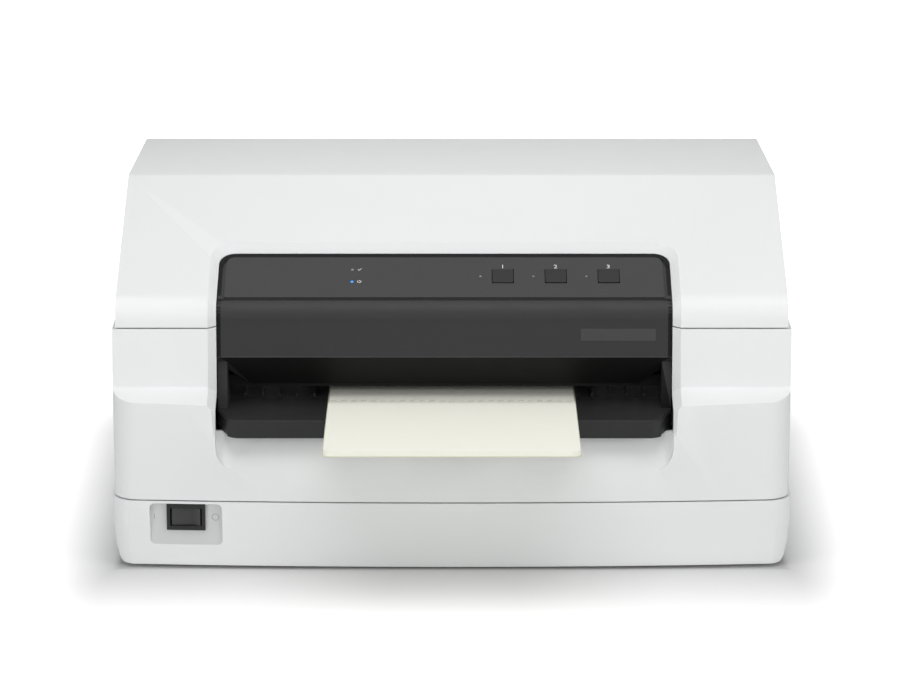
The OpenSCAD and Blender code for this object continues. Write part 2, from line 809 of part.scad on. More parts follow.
module platen_bar() {
    half = platen_w / 2;
    color(rubber_colour) difference() {
        union() {
            box([-frame_x, frame_x], [print_line - half, print_line + half], [bed_h - 14, bed_h - guide_t]);
            box([-frame_x + 8 + side_gap, frame_x - 8 - side_gap], [print_line - half, print_line + half],
                [bed_h - 14, bed_h]);
        }
        box([-frame_x + 12, frame_x - 12], [print_line - half + 2, print_line + half - 2],
            [bed_h - 15, bed_h - 4]);
    }
}

gate_d = [book_end + 0.6, book_end + 2.8];

module alignment_gate() {
    color(steel_colour) {
        box([-100, 100], gate_d, [bed_h - 26, bed_h - 12]);
        for (k = [-2:2]) box([k * 40 - 6, k * 40 + 6], gate_d, [bed_h - 12 - eps, bed_h + 6]);
    }
}

module gate_solenoid() {
    color(steel_colour) {
        box([-14, 14], [gate_d[1] + 0.3, gate_d[1] + 2], [bed_h - 50, bed_h - 22]);
        box([-14, 14], [gate_d[1] + 2 - eps, gate_d[1] + 20], [bed_h - 50, bed_h - 34]);
        box([-20, 20], [gate_d[1] + 4, gate_d[1] + 16], [chassis_h + chassis_t, bed_h - 50 + eps]);
    }
}

book_corner = 3;
cover_t = 0.5;

module book_leaf(shrink, z0, z1) {
    half = book_w / 2 - shrink;
    color("#f4f2dc") translate([0, 0, z0]) linear_extrude(z1 - z0) polygon(rounded(
        [[-half, shrink - book_out], [half, shrink - book_out], [half, book_end - shrink],
            [-half, book_end - shrink]],
        [for (k = [0:3]) book_corner]));
}

module passbook_cover() {
    book_leaf(0, book_z, book_z + cover_t);
}

module passbook_pages() {
    book_leaf(1, book_z + cover_t, book_z + book_t);
}

// ---------- print frame ----------

module chassis_plate() {
    color(steel_colour) difference() {
        union() {
            box([-frame_x - 8, frame_x + 8], [58, guide_back], [chassis_h, chassis_h + chassis_t]);
            box([-frame_x, frame_x], [58, 59.5], [chassis_h, chassis_h + 14]);
            box([-frame_x, frame_x], [guide_back - 1.5, guide_back], [chassis_h, chassis_h + 14]);
        }
        for (x = [-80:40:80]) translate([x, 95, chassis_h - 1]) cylinder(r = 9, h = 5);
        for (x = [-120, 120], d = screw_d) translate([x, d, chassis_h - 1]) cylinder(r = 1.8, h = 5);
    }
}

frame_outline = [
    [58, chassis_h + chassis_t], [guide_back, chassis_h + chassis_t], [guide_back, 112], [168, 116],
    [168, 141], [150, 147], [84, 147], [62, 118], [58, 96]];
bush_r = 6;

function shaft_places() = [[front_nip, lower_axis], [rear_nip, lower_axis], [front_nip, upper_axis],
    [rear_nip, upper_axis]];

module side_frame(x0) {
    color(steel_colour) difference() {
        union() {
            along_x(x0, x0 + frame_t) polygon(rounded(frame_outline, [0, 0, 6, 6, 4, 6, 10, 8, 6]));
            box([x0 - (x0 < 0 ? 8 : -frame_t), x0 + (x0 < 0 ? 0 : frame_t + 8)],
                [66, guide_back - 8], [chassis_h + chassis_t, chassis_h + chassis_t + 1.5]);
        }
        for (p = shaft_places()) rod_x(p[0], p[1], bush_r, x0 - 1, x0 + frame_t + 1);
        rod_x(slide_d, slide_h, slide_r, x0 - 1, x0 + frame_t + 1);
        along_x(x0 - 1, x0 + frame_t + 1) polygon(rounded(
            [[175, 30], [205, 30], [205, 75], [175, 75]], [8, 8, 8, 8]));
        rod_x(middle_gear_d, pinion_axis, 3, x0 - 1, x0 + frame_t + 1);
        rod_x(75, 45, 8, x0 - 1, x0 + frame_t + 1);
    }
}

module left_side_frame() {
    side_frame(-frame_x - frame_t);
    // Stub that carries the middle gear
    color(steel_colour) rod_x(middle_gear_d, lower_axis, stub_r, gear_x - gear_w - 1, -frame_x - eps);
}

module right_side_frame() {
    side_frame(frame_x);
}

beam_d = [belt_d + 7, belt_d + 8.5];

module rear_beam() {
    color(steel_colour) difference() {
        union() {
            box([-frame_x, frame_x], beam_d, [belt_h - 18, belt_h + 13]);
            box([-frame_x, frame_x], [beam_d[0], beam_d[0] + 10], [belt_h - 18, belt_h - 16.5]);
        }
        for (x = [-80:40:80]) rod_y(x, belt_h - 2, 8, beam_d[0] - 1, beam_d[1] + 1);
        rod_y(pulley_x, belt_h, 3.5, beam_d[0] - 1, beam_d[1] + 1);
    }
    // Stub that carries the idler
    color(steel_colour) rod_y(-pulley_x, belt_h, 2, belt_d - 4.4, beam_d[0] + eps);
}

module shaft_bushes() {
    color("#c9a25a") for (p = shaft_places(), side = [-1, 1]) {
        x = side * frame_x;
        difference() {
            union() {
                rod_x(p[0], p[1], bush_r, min(x, x + side * (frame_t + 1)), max(x, x + side * (frame_t + 1)));
                rod_x(p[0], p[1], bush_r + 1.5, min(x + side * frame_t, x + side * (frame_t + 1)),
                    max(x + side * frame_t, x + side * (frame_t + 1)));
            }
            rod_x(p[0], p[1], shaft_r + run_gap, -frame_x - 10, frame_x + 10);
        }
    }
}

// ---------- rollers and gears ----------

gear_x = -frame_x - frame_t - 1.5;
shaft_end = frame_x + frame_t + 3;

module roller_shaft(d, z, x0) {
    color(steel_colour) union() {
        rod_x(d, z, shaft_r, x0, shaft_end);
        rod_x(d, z, shaft_r - 0.8, shaft_end - eps, shaft_end + 2);
    }
}

module roller_sleeves(d, z) {
    color(rubber_colour) for (k = [-2:2]) difference() {
        rod_x(d, z, roller_r, k * sleeve_pitch - sleeve_w / 2, k * sleeve_pitch + sleeve_w / 2);
        rod_x(d, z, shaft_r, -frame_x, frame_x);
    }
}

// One tooth's space is as wide as the tooth and a little more, so that meshed gears run free
function tooth(z, k, m) = let(
    pitch_r = m * z / 2,
    step = 360 / z,
    at = step * k)
    [for (p = [[pitch_r - 1.15 * m, -0.30], [pitch_r - 0.2 * m, -0.235], [pitch_r + 0.85 * m, -0.1],
        [pitch_r + 0.85 * m, 0.1], [pitch_r - 0.2 * m, 0.235], [pitch_r - 1.15 * m, 0.30]])
        p[0] * [cos(at + p[1] * step), sin(at + p[1] * step)]];

module gear(z, phase, w, bore) {
    difference() {
        linear_extrude(w) rotate(phase) polygon([for (k = [0:z - 1]) each tooth(z, k, gear_module)]);
        translate([0, 0, -1]) cylinder(r = bore, h = w + 2);
        // Thin web between rim and hub
        if (z > 15) translate([0, 0, w - 1.5]) difference() {
            cylinder(r = gear_module * z / 2 - 3, h = 3);
            translate([0, 0, -1]) cylinder(r = bore + 1.6, h = 5);
        }
    }
}

// A gear lying in the Y-Z plane on the left of the frame; its angle counts from +Y towards +Z
module plane_gear(d, z_axis, teeth, phase, bore) {
    color(gear_colour) translate([gear_x - gear_w, d, z_axis]) rotate([90, 0, 90])
        gear(teeth, phase, gear_w, bore);
}

module front_lower_shaft() {
    roller_shaft(front_nip, lower_axis, gear_x - gear_w - 1);
}

module front_lower_sleeves() {
    roller_sleeves(front_nip, lower_axis);
}

module front_lower_gear() {
    plane_gear(front_nip, lower_axis, roller_teeth, 0, shaft_r);
}

module rear_lower_shaft() {
    roller_shaft(rear_nip, lower_axis, gear_x - gear_w - 1);
}

module rear_lower_sleeves() {
    roller_sleeves(rear_nip, lower_axis);
}

module rear_lower_gear() {
    plane_gear(rear_nip, lower_axis, roller_teeth, 0, shaft_r);
}

module front_upper_shaft() {
    roller_shaft(front_nip, upper_axis, -shaft_end);
}

module front_upper_sleeves() {
    roller_sleeves(front_nip, upper_axis);
}

module rear_upper_shaft() {
    roller_shaft(rear_nip, upper_axis, -shaft_end);
}

module rear_upper_sleeves() {
    roller_sleeves(rear_nip, upper_axis);
}

stub_r = 3;

module middle_gear() {
    plane_gear(middle_gear_d, lower_axis, middle_teeth, 180 / middle_teeth, stub_r + run_gap);
}

module motor_pinion() {
    plane_gear(middle_gear_d, pinion_axis, pinion_teeth, 180 / pinion_teeth, 1.5);
}

module feed_motor() {
    x1 = -frame_x;
    color("#8d9196") {
        rod_x(middle_gear_d, pinion_axis, 17.5, x1, x1 + 20);
        rod_x(middle_gear_d, pinion_axis, 5, x1 + 20 - eps, x1 + 22);
        box([x1, x1 + 1.2], [middle_gear_d - 25, middle_gear_d + 25], [pinion_axis - 6, pinion_axis + 6]);
        rod_x(middle_gear_d, pinion_axis, 1.5, gear_x - gear_w - 1, x1 + eps);
    }
}

// ---------- carriage ----------

module carriage_shaft() {
    color("#d4d7da") rod_x(slide_d, slide_h, slide_r, -frame_x - frame_t - 4, frame_x + frame_t + 4);
}

rail_d = 92;
rail_h = 124;

module carriage_rail() {
    color(steel_colour) {
        box([-frame_x, frame_x], [rail_d - 8, rail_d - 6.5], [rail_h - 4, rail_h + 14]);
        box([-frame_x, frame_x], [rail_d - 8, rail_d + 4], [rail_h - 1.5, rail_h]);
    }
}

module carriage() {
    half = carriage_w / 2;
    color(black_colour) difference() {
        union() {
            along_x(-half, half) polygon([
                [rail_d, rail_h - 8], [104, 111], [slide_d + 8, 111], [slide_d + 8, slide_h + 7],
                [slide_d - 8, slide_h + 8], [126, rail_h + 3], [rail_d, rail_h + 3]]);
            rod_x(slide_d, slide_h, 8.5, -half, half);
            // Clamp that grips the lower run of the belt
            box([-9, 9], [slide_d + 7, belt_d + 4], [belt_h - pulley_r - 4, belt_h - pulley_r + 2.4]);
        }
        rod_x(slide_d, slide_h, slide_r + run_gap, -half - 1, half + 1);
        // Slot that runs on the front rail
        box([-half - 1, half + 1], [rail_d - 3, rail_d + 4.4], [rail_h - 1.5 - run_gap, rail_h + run_gap]);
        // Well of the print head
        box([-head_w / 2 - 0.1, head_w / 2 + 0.1], [print_line - 14.1, print_line + 12.1], [100, 150]);
        for (side = [-1, 1])
            box([side * arm_x - 1.4, side * arm_x + 1.4], [print_line - 4.4, print_line + 4.4], [100, 150]);
        // Groove for the belt
        box([-10, 10], [belt_d - 3.3, belt_d + 5], [belt_h - pulley_r - 1.9, belt_h - pulley_r + 0.6]);
    }
}

head_w = 28;
head_bottom = book_z + book_t + head_gap;

module print_head() {
    color("#3a3d42") {
        // Nose with the wire guide
        translate([0, print_line, head_bottom]) {
            translate([-4, -6, 0]) cube([8, 12, 6]);
            translate([-7, -8, 5]) cube([14, 16, 12]);
        }
        box([-head_w / 2, head_w / 2], [print_line - 14, print_line + 12], [111, 124]);
        // Round driver body with cooling fins
        translate([0, print_line - 1, 124 - eps]) cylinder(r = 12.5, h = 26);
        for (k = [0:5]) translate([0, print_line - 1, 128 + k * 4])
            difference() {
                cylinder(r = 17, h = 1.8);
                translate([-30, 14, -1]) cube([60, 60, 4]);
            }
    }
}

arm_x = 19.3;
ribbon_t = 0.2;
ribbon_z = head_bottom - 0.45;

module ribbon_cartridge() {
    color("#27272a") difference() {
        union() {
            for (side = [-1, 1]) box([side * arm_x - 1, side * arm_x + 1], [print_line - 4, print_line + 4],
                [ribbon_z + ribbon_t, cartridge_z + 1]);
            translate([0, 0, cartridge_z]) linear_extrude(cartridge_h) polygon(rounded(
                [[-30, 93], [30, 93], [30, 152], [-30, 152]], [4, 4, 6, 6]));
        }
        translate([0, print_line - 1, 100]) cylinder(r = 18, h = 100);
        box([-18, 18], [80, print_line - 1], [100, 200]);
        rod_x(slide_d, slide_h, 8.6, -60, 60);
        translate([knob_x, knob_d, cartridge_z + cartridge_h - 3]) cylinder(r = 3 + run_gap, h = 10);
    }
}

knob_x = 19;
knob_d = 142;
cartridge_z = slide_h + 8.8;
cartridge_h = 14;
knob_z = cartridge_z + cartridge_h + 0.3;

module ribbon_knob() {
    color("#3f6fb0") {
        difference() {
            translate([knob_x, knob_d, knob_z]) cylinder(r = 7, h = 5);
            for (k = [0:11]) translate([knob_x + 7.3 * cos(30 * k), knob_d + 7.3 * sin(30 * k), knob_z - 1])
                cylinder(r = 1, h = 8);
        }
        translate([knob_x, knob_d, cartridge_z + cartridge_h - 2.8]) cylinder(r = 3, h = 3.2);
    }
}

module ribbon_band() {
    color("#101012") box([-arm_x - 1, arm_x + 1], [print_line - 4, print_line + 4],
        [ribbon_z, ribbon_z + ribbon_t]);
}

// ---------- carriage drive ----------

module timing_belt() {
    belt_t = 1.2;
    r = pulley_r + 0.1;
    color("#202022") difference() {
        belt_loop(r + belt_t, [belt_d - 3, belt_d + 3]);
        belt_loop(r, [belt_d - 4, belt_d + 4]);
    }
}

module belt_loop(r, d) {
    box([-pulley_x, pulley_x], d, [belt_h - r, belt_h + r]);
    for (x = [-pulley_x, pulley_x]) rod_y(x, belt_h, r, d[0], d[1]);
}

module pulley(x, bore) {
    color(gear_colour) difference() {
        union() {
            rod_y(x, belt_h, pulley_r, belt_d - 3.4, belt_d + 3.4);
            rod_y(x, belt_h, pulley_r - 3, belt_d + 3.3, belt_d + 6);
        }
        rod_y(x, belt_h, bore, belt_d - 10, belt_d + 10);
        // Tooth spaces of the belt
        for (k = [0:11])
            rod_y(x + (pulley_r + 0.3) * cos(30 * k), belt_h + (pulley_r + 0.3) * sin(30 * k), 0.8,
                belt_d - 3.2, belt_d + 3.2);
    }
}

module drive_pulley() {
    pulley(pulley_x, 2);
}

module idler_pulley() {
    pulley(-pulley_x, 2 + run_gap);
}

module carriage_motor() {
    color("#8d9196") {
        rod_y(pulley_x, belt_h, 14, beam_d[1], beam_d[1] + 30);
        rod_y(pulley_x, belt_h, 4, beam_d[1] + 30 - eps, beam_d[1] + 33);
        rod_y(pulley_x, belt_h, 3.4, beam_d[0], beam_d[1] + eps);
        rod_y(pulley_x, belt_h, 2, belt_d - 4.4, beam_d[0] + eps);
    }
}

// ---------- electronics ----------

board_z = chassis_h + chassis_t + 6;

module main_board() {
    color("#2c6b3f") {
        box([24, 128], [70, 205], [board_z, board_z + 1.6]);
        for (x = [30, 122], d = [76, 199])
            translate([x, d, chassis_h + chassis_t]) cylinder(r = 2.5, h = 6 + eps);
        box([40, 68], [100, 128], [board_z + 1.6 - eps, board_z + 4.5]);
        box([80, 98], [100, 114], [board_z + 1.6 - eps, board_z + 3.5]);
        box([80, 98], [130, 144], [board_z + 1.6 - eps, board_z + 3.5]);
        for (x = [36, 50]) translate([x, 185, board_z + 1.6 - eps]) cylinder(r = 5, h = 16);
        box([44, 104], [75, 81], [board_z + 1.6 - eps, board_z + 9]);
    }
}

module power_supply() {
    color("#9ea3a8") difference() {
        box([-125, -15], [165, 212], [chassis_h + chassis_t, 62]);
        for (x = [-115:8:-35]) box([x, x + 4], [160, 214], [50, 58]);
    }
}

module switch_housing() {
    color(black_colour) at_switch() difference() {
        union() {
            box([-11, 11], [recess_d - 1.4, recess_d], [-7.7, 7.7]);
            box([-9.8, 9.8], [recess_d - eps, 18], [-6, 6]);
        }
        box([-9, 9], [-1, 11], [-5.2, 5.2]);
        translate([0, rocker_d, -7]) cylinder(r = rocker_pin_r + run_gap, h = 14);
    }
}

rocker_d = 5.2;
rocker_pin_r = 1.2;

module rocker_switch() {
    color("#2b2b2e") at_switch() translate([0, rocker_d, 0]) {
        translate([0, 0, -5]) linear_extrude(10) polygon([
            [-8.2, -3.4], [3.4, -2.2], [8.2, -4.6], [8.2, 0.5], [2.4, 2.4], [-2.4, 2.4], [-8.2, 0.5]]);
        translate([0, 0, -5.9]) cylinder(r = rocker_pin_r, h = 11.8);
    }
}

module power_inlet() {
    color(black_colour) difference() {
        union() {
            box([inlet_x - 13.5, inlet_x + 13.5], [back_d - 18, back_d], [inlet_z + 0.2, inlet_z + inlet_h - 0.2]);
            box([inlet_x - 15.5, inlet_x + 15.5], [back_d + 0.1, back_d + 1.6], [inlet_z - 2, inlet_z + inlet_h + 2]);
            box([inlet_x - 13.5, inlet_x + 13.5], [back_d - 1, back_d + 0.2], [inlet_z + 0.2, inlet_z + inlet_h - 0.2]);
        }
        box([inlet_x - 11.5, inlet_x + 11.5], [back_d - 14, back_d + 2], [inlet_z + 2.5, inlet_z + inlet_h - 2.5]);
    }
    color(steel_colour) for (k = [-1:1])
        box([inlet_x + 6 * k - 1, inlet_x + 6 * k + 1], [back_d - 15, back_d - 5],
            [inlet_z + inlet_h / 2 - 3 + (k == 0 ? 1.5 : 0), inlet_z + inlet_h / 2 + 1 + (k == 0 ? 1.5 : 0)]);
}

module connector_plate() {
    color(steel_colour) difference() {
        box(plate_x, [back_d - wall - 1.4, back_d - wall - 0.2], plate_z);
        box([54, 98], [0, case_d], [17, 31]);
        box([106, 120], [0, case_d], [17, 29]);
        box([128, 142], [0, case_d], [17, 29]);
    }
}

module parallel_port() {
    color(steel_colour) difference() {
        union() {
            box([54.2, 97.8], [back_d - 16, back_d - 0.4], [17.2, 30.8]);
            box([106.2, 119.8], [back_d - 16, back_d - 0.4], [17.2, 28.8]);
            box([128.2, 141.8], [back_d - 16, back_d - 0.4], [17.2, 28.8]);
        }
        for (x = [[56, 96], [107.5, 118.5], [129.5, 140.5]])
            box(x, [back_d - 10, back_d + 1], [19, 27]);
    }
    color(black_colour) for (x = [[60, 92], [110, 116], [132, 138]])
        box(x, [back_d - 10 - eps, back_d - 2], [21.5, 24.5]);
}

module rubber_feet() {
    color(rubber_colour) for (x = [-150, 150], d = [35, 245])
        translate([x, d, 0]) cylinder(r = foot_r, h = foot_h);
}

module case_screws() {
    color(steel_colour) for (x = [-120, 120], d = screw_d) translate([x, d, 0]) {
        translate([0, 0, chassis_h + chassis_t]) cylinder(r = 3, h = 2);
        translate([0, 0, chassis_h - 4]) cylinder(r = 1.5, h = 5.6);
    }
}

placed() bottom_case();
placed() middle_case();
placed() top_cover();
placed() hinge_pins();
placed() front_fascia();
placed() control_panel();
placed() panel_board();
placed() left_key();
placed() middle_key();
placed() right_key();
placed() power_lens();
placed() ready_lens();
placed() key_lenses();
placed() front_tray();
placed() lower_paper_guide();
placed() front_upper_guide();
placed() rear_upper_guide();
placed() platen_bar();
placed() alignment_gate();
placed() gate_solenoid();
placed() passbook_cover();
placed() passbook_pages();
placed() chassis_plate();
placed() left_side_frame();
placed() right_side_frame();
placed() rear_beam();
placed() shaft_bushes();
placed() front_lower_shaft();
placed() front_lower_sleeves();
placed() front_lower_gear();
placed() rear_lower_shaft();
placed() rear_lower_sleeves();
placed() rear_lower_gear();
placed() front_upper_shaft();
placed() front_upper_sleeves();
placed() rear_upper_shaft();
placed() rear_upper_sleeves();
placed() middle_gear();
placed() motor_pinion();
placed() feed_motor();
placed() carriage_shaft();
placed() carriage_rail();
placed() carriage();
placed() print_head();
placed() ribbon_cartridge();
placed() ribbon_band();
placed() ribbon_knob();
placed() timing_belt();
placed() drive_pulley();
placed() idler_pulley();
placed() carriage_motor();
placed() main_board();
placed() power_supply();
placed() switch_housing();
placed() rocker_switch();
placed() power_inlet();
placed() connector_plate();
placed() parallel_port();
placed() rubber_feet();
placed() case_screws();
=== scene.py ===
import math
import bpy
import bmesh
from mathutils import Matrix, Vector
from mathutils.bvhtree import BVHTree


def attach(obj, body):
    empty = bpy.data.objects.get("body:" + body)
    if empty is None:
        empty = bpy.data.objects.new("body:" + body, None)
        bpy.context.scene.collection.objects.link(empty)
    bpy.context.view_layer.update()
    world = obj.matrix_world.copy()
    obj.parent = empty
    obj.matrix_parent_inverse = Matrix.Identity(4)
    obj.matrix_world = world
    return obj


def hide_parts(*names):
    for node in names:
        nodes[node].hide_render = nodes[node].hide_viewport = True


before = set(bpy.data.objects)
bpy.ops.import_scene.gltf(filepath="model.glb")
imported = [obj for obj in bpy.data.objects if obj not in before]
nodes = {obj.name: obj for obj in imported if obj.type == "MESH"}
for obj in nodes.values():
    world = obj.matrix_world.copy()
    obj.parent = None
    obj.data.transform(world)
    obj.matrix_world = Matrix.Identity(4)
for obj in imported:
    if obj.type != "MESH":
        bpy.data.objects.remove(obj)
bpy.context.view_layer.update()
mm = 0.001

# The frame's origin lies this many millimetres behind the front face of the case
originDepth = 103.2
slopeAngle = math.radians(25)    # the lid's front slope, which the control panel follows
fromFront = Vector((0, 1, 0))
outside = -20    # rays that look for a surface start this many millimetres in front of it


# A spot in millimetres, with its depth counted from the front face of the case
def point(x, depth, z):
    return Vector((x, depth - originDepth, z)) * mm


cameraPlace = {"target": (-0.001, 0.0368, 0.094), "distance": 2.285, "elevation": 15, "lens": 152.7,
               "sensor": 36}


def makeCamera():
    c = cameraPlace
    elevation = math.radians(c["elevation"])
    data = bpy.data.cameras.new("camera")
    data.lens = c["lens"]
    data.sensor_width = c["sensor"]
    camera = bpy.data.objects.new("camera", data)
    away = Vector((0, -math.cos(elevation), math.sin(elevation)))
    camera.location = Vector(c["target"]) + c["distance"] * away
    camera.rotation_euler = (math.pi / 2 - elevation, 0, 0)
    bpy.context.scene.collection.objects.link(camera)
    bpy.context.scene.camera = camera


makeCamera()
print("camera set")


def newGroup(name, inputs, outputs):
    group = bpy.data.node_groups.new(name, "ShaderNodeTree")
    for label, kind, value in inputs:
        socket = group.interface.new_socket(label, in_out="INPUT", socket_type="NodeSocket" + kind)
        socket.default_value = value
    for label, kind in outputs:
        group.interface.new_socket(label, in_out="OUTPUT", socket_type="NodeSocket" + kind)
    return group, group.nodes.new("NodeGroupInput"), group.nodes.new("NodeGroupOutput")


def link(tree, source, target):
    tree.links.new(source, target)


# A number, a colour or another node's output goes into a socket
def feed(tree, value, socket):
    if isinstance(value, bpy.types.NodeSocket):
        link(tree, value, socket)
    else:
        socket.default_value = value


def mathNode(tree, operation, a, b=0.0):
    node = tree.nodes.new("ShaderNodeMath")
    node.operation = operation
    feed(tree, a, node.inputs[0])
    feed(tree, b, node.inputs[1])
    return node.outputs[0]


# A value between 0 and 1 becomes a swing about zero
def swing(tree, value, amount):
    return mathNode(tree, "MULTIPLY", mathNode(tree, "SUBTRACT", value, 0.5), amount)


def noiseNode(tree, coords, scale, detail=2.0, roughness=0.5):
    node = tree.nodes.new("ShaderNodeTexNoise")
    node.inputs["Detail"].default_value = detail
    node.inputs["Roughness"].default_value = roughness
    feed(tree, scale, node.inputs["Scale"])
    link(tree, coords, node.inputs["Vector"])
    return node.outputs["Fac"]


def objectCoords(tree):
    return tree.nodes.new("ShaderNodeTexCoord").outputs["Object"]


def rangeNode(tree, value, low, high, toLow, toHigh):
    node = tree.nodes.new("ShaderNodeMapRange")
    node.inputs["From Min"].default_value = low
    node.inputs["From Max"].default_value = high
    node.inputs["To Min"].default_value = toLow
    node.inputs["To Max"].default_value = toHigh
    link(tree, value, node.inputs["Value"])
    return node.outputs["Result"]


def bumpNode(tree, height, distance):
    node = tree.nodes.new("ShaderNodeBump")
    link(tree, height, node.inputs["Height"])
    feed(tree, distance, node.inputs["Distance"])
    return node.outputs["Normal"]


# Coordinates multiplied axis by axis
def stretched(tree, coords, factors):
    node = tree.nodes.new("ShaderNodeVectorMath")
    node.operation = "MULTIPLY"
    link(tree, coords, node.inputs[0])
    feed(tree, factors, node.inputs[1])
    return node.outputs["Vector"]


# Makes a colour lighter or darker by a factor
def shaded(tree, color, factor):
    node = tree.nodes.new("ShaderNodeVectorMath")
    node.operation = "SCALE"
    feed(tree, color, node.inputs[0])
    link(tree, factor, node.inputs["Scale"])
    return node.outputs["Vector"]


def blended(tree, mask, colorA, colorB):
    node = tree.nodes.new("ShaderNodeMix")
    node.data_type = "RGBA"
    node.inputs[6].default_value = (*colorA, 1)
    node.inputs[7].default_value = (*colorB, 1)
    link(tree, mask, node.inputs[0])
    return node.outputs[2]


# Moulded surface: a fine grain in the height, a slow drift in tone and gloss, and a painted highlight that
# makes sharp edges paler
def makeMouldedGroup():
    group, source, target = newGroup("moulded_surface", [
        ("Color", "Color", (0.8, 0.8, 0.8, 1)), ("Grain", "Float", 1800.0), ("Height", "Float", 0.00002),
        ("Drift", "Float", 0.03), ("Edge", "Float", 0.05), ("Roughness", "Float", 0.45)],
        [("Color", "Color"), ("Roughness", "Float"), ("Normal", "Vector")])
    coords = objectCoords(group)
    grain = noiseNode(group, coords, source.outputs["Grain"], 1.5)
    slow = noiseNode(group, coords, 9.0, 3.0)
    fine = noiseNode(group, coords, 60.0, 4.0)
    edge = group.nodes.new("ShaderNodeNewGeometry").outputs["Pointiness"]
    # Painted highlight: the colour is lightened by the amount of Edge where the surface turns sharply
    # outwards
    edgeHighlight = mathNode(group, "MULTIPLY", rangeNode(group, edge, 0.52, 0.62, 0, 1), source.outputs["Edge"])
    shade = mathNode(group, "ADD", swing(group, slow, source.outputs["Drift"]), edgeHighlight)
    color = shaded(group, source.outputs["Color"], mathNode(group, "ADD", shade, 1.0))
    gloss = mathNode(group, "ADD", source.outputs["Roughness"], swing(group, fine, 0.16))
    link(group, color, target.inputs["Color"])
    link(group, gloss, target.inputs["Roughness"])
    link(group, bumpNode(group, grain, source.outputs["Height"]), target.inputs["Normal"])
    return group


# Rolled or drawn metal: streaks along one axis, small scratches and cloudy spots
def makeMetalGroup():
    group, source, target = newGroup("drawn_metal", [
        ("Color", "Color", (0.6, 0.6, 0.6, 1)), ("Stretch", "Vector", (1, 60, 60)),
        ("Height", "Float", 0.00001), ("Drift", "Float", 0.2), ("Roughness", "Float", 0.35)],
        [("Color", "Color"), ("Roughness", "Float"), ("Normal", "Vector")])
    coords = objectCoords(group)
    streaks = noiseNode(group, stretched(group, coords, source.outputs["Stretch"]), 30.0, 3.0)
    clouds = noiseNode(group, coords, 45.0, 5.0, 0.65)
    mixed = mathNode(group, "ADD", mathNode(group, "MULTIPLY", streaks, 0.5),
                     mathNode(group, "MULTIPLY", clouds, 0.5))
    shade = mathNode(group, "ADD", swing(group, mixed, source.outputs["Drift"]), 1.0)
    gloss = mathNode(group, "ADD", source.outputs["Roughness"], swing(group, clouds, 0.35))
    link(group, shaded(group, source.outputs["Color"], shade), target.inputs["Color"])
    link(group, gloss, target.inputs["Roughness"])
    link(group, bumpNode(group, streaks, source.outputs["Height"]), target.inputs["Normal"])
    return group


mouldedGroup = makeMouldedGroup()
metalGroup = makeMetalGroup()


def newMaterial(name, metallic=0.0, specular=0.5, coat=0.0):
    material = bpy.data.materials.new(name)
    material.use_nodes = True
    shader = material.node_tree.nodes["Principled BSDF"]
    shader.inputs["Metallic"].default_value = metallic
    shader.inputs["Specular IOR Level"].default_value = specular
    shader.inputs["Coat Weight"].default_value = coat
    shader.inputs["Coat Roughness"].default_value = 0.2
    return material, material.node_tree, shader


def fromGroup(tree, shader, group, values):
    node = tree.nodes.new("ShaderNodeGroup")
    node.node_tree = group
    for label, value in values.items():
        node.inputs[label].default_value = value
    link(tree, node.outputs["Color"], shader.inputs["Base Color"])
    link(tree, node.outputs["Roughness"], shader.inputs["Roughness"])
    link(tree, node.outputs["Normal"], shader.inputs["Normal"])


def moulded(name, color, roughness, grain, height, drift, edge, specular=0.5):
    material, tree, shader = newMaterial(name, 0.0, specular)
    fromGroup(tree, shader, mouldedGroup, {
        "Color": (*color, 1), "Grain": grain, "Height": height, "Drift": drift, "Edge": edge,
        "Roughness": roughness})
    return material


def metal(name, color, roughness, stretch, height, drift):
    material, tree, shader = newMaterial(name, 1.0)
    fromGroup(tree, shader, metalGroup, {
        "Color": (*color, 1), "Stretch": stretch, "Height": height, "Drift": drift, "Roughness": roughness})
    return material


casePlastic = moulded("case_plastic", (0.80, 0.815, 0.815), 0.45, 1500, 0.000012, 0.015, 0.03, 0.22)
fasciaPlastic = moulded("fascia_plastic", (0.031, 0.031, 0.032), 0.5, 2200, 0.00002, 0.06, 0.15, 0.2)
panelFilm = moulded("panel_film", (0.046, 0.046, 0.047), 0.5, 3000, 0.000012, 0.05, 0.0, 0.2)
blackPlastic = moulded("black_plastic", (0.018, 0.018, 0.019), 0.42, 2000, 0.00002, 0.1, 0.4, 0.3)
keyPlastic = moulded("key_plastic", (0.012, 0.012, 0.0125), 0.42, 2400, 0.00002, 0.1, 0.4, 0.25)
softRubber = moulded("soft_rubber", (0.022, 0.022, 0.022), 0.75, 1200, 0.00005, 0.3, 0.2, 0.3)
gearPlastic = moulded("gear_plastic", (0.76, 0.73, 0.62), 0.4, 1500, 0.00001, 0.05, 0.05)
knobPlastic = moulded("knob_plastic", (0.03, 0.11, 0.34), 0.3, 1500, 0.00001, 0.05, 0.2)
# Painted shade, darker than the fascia, for the throat over the slot and the dark line round the fascia
paintedShadeBlack = moulded("painted_shade_black", (0.008, 0.008, 0.008), 0.6, 2200, 0.00001, 0.05, 0.0, 0.12)
rockerPlastic = moulded("rocker_plastic", (0.045, 0.045, 0.046), 0.4, 2400, 0.00001, 0.05, 0.3, 0.3)
printInk = moulded("print_ink", (0.78, 0.78, 0.79), 0.6, 2500, 0.000004, 0.03, 0.0, 0.3)
platePlastic = moulded("plate_plastic", (0.052, 0.052, 0.053), 0.5, 2800, 0.000012, 0.04, 0.1, 0.2)
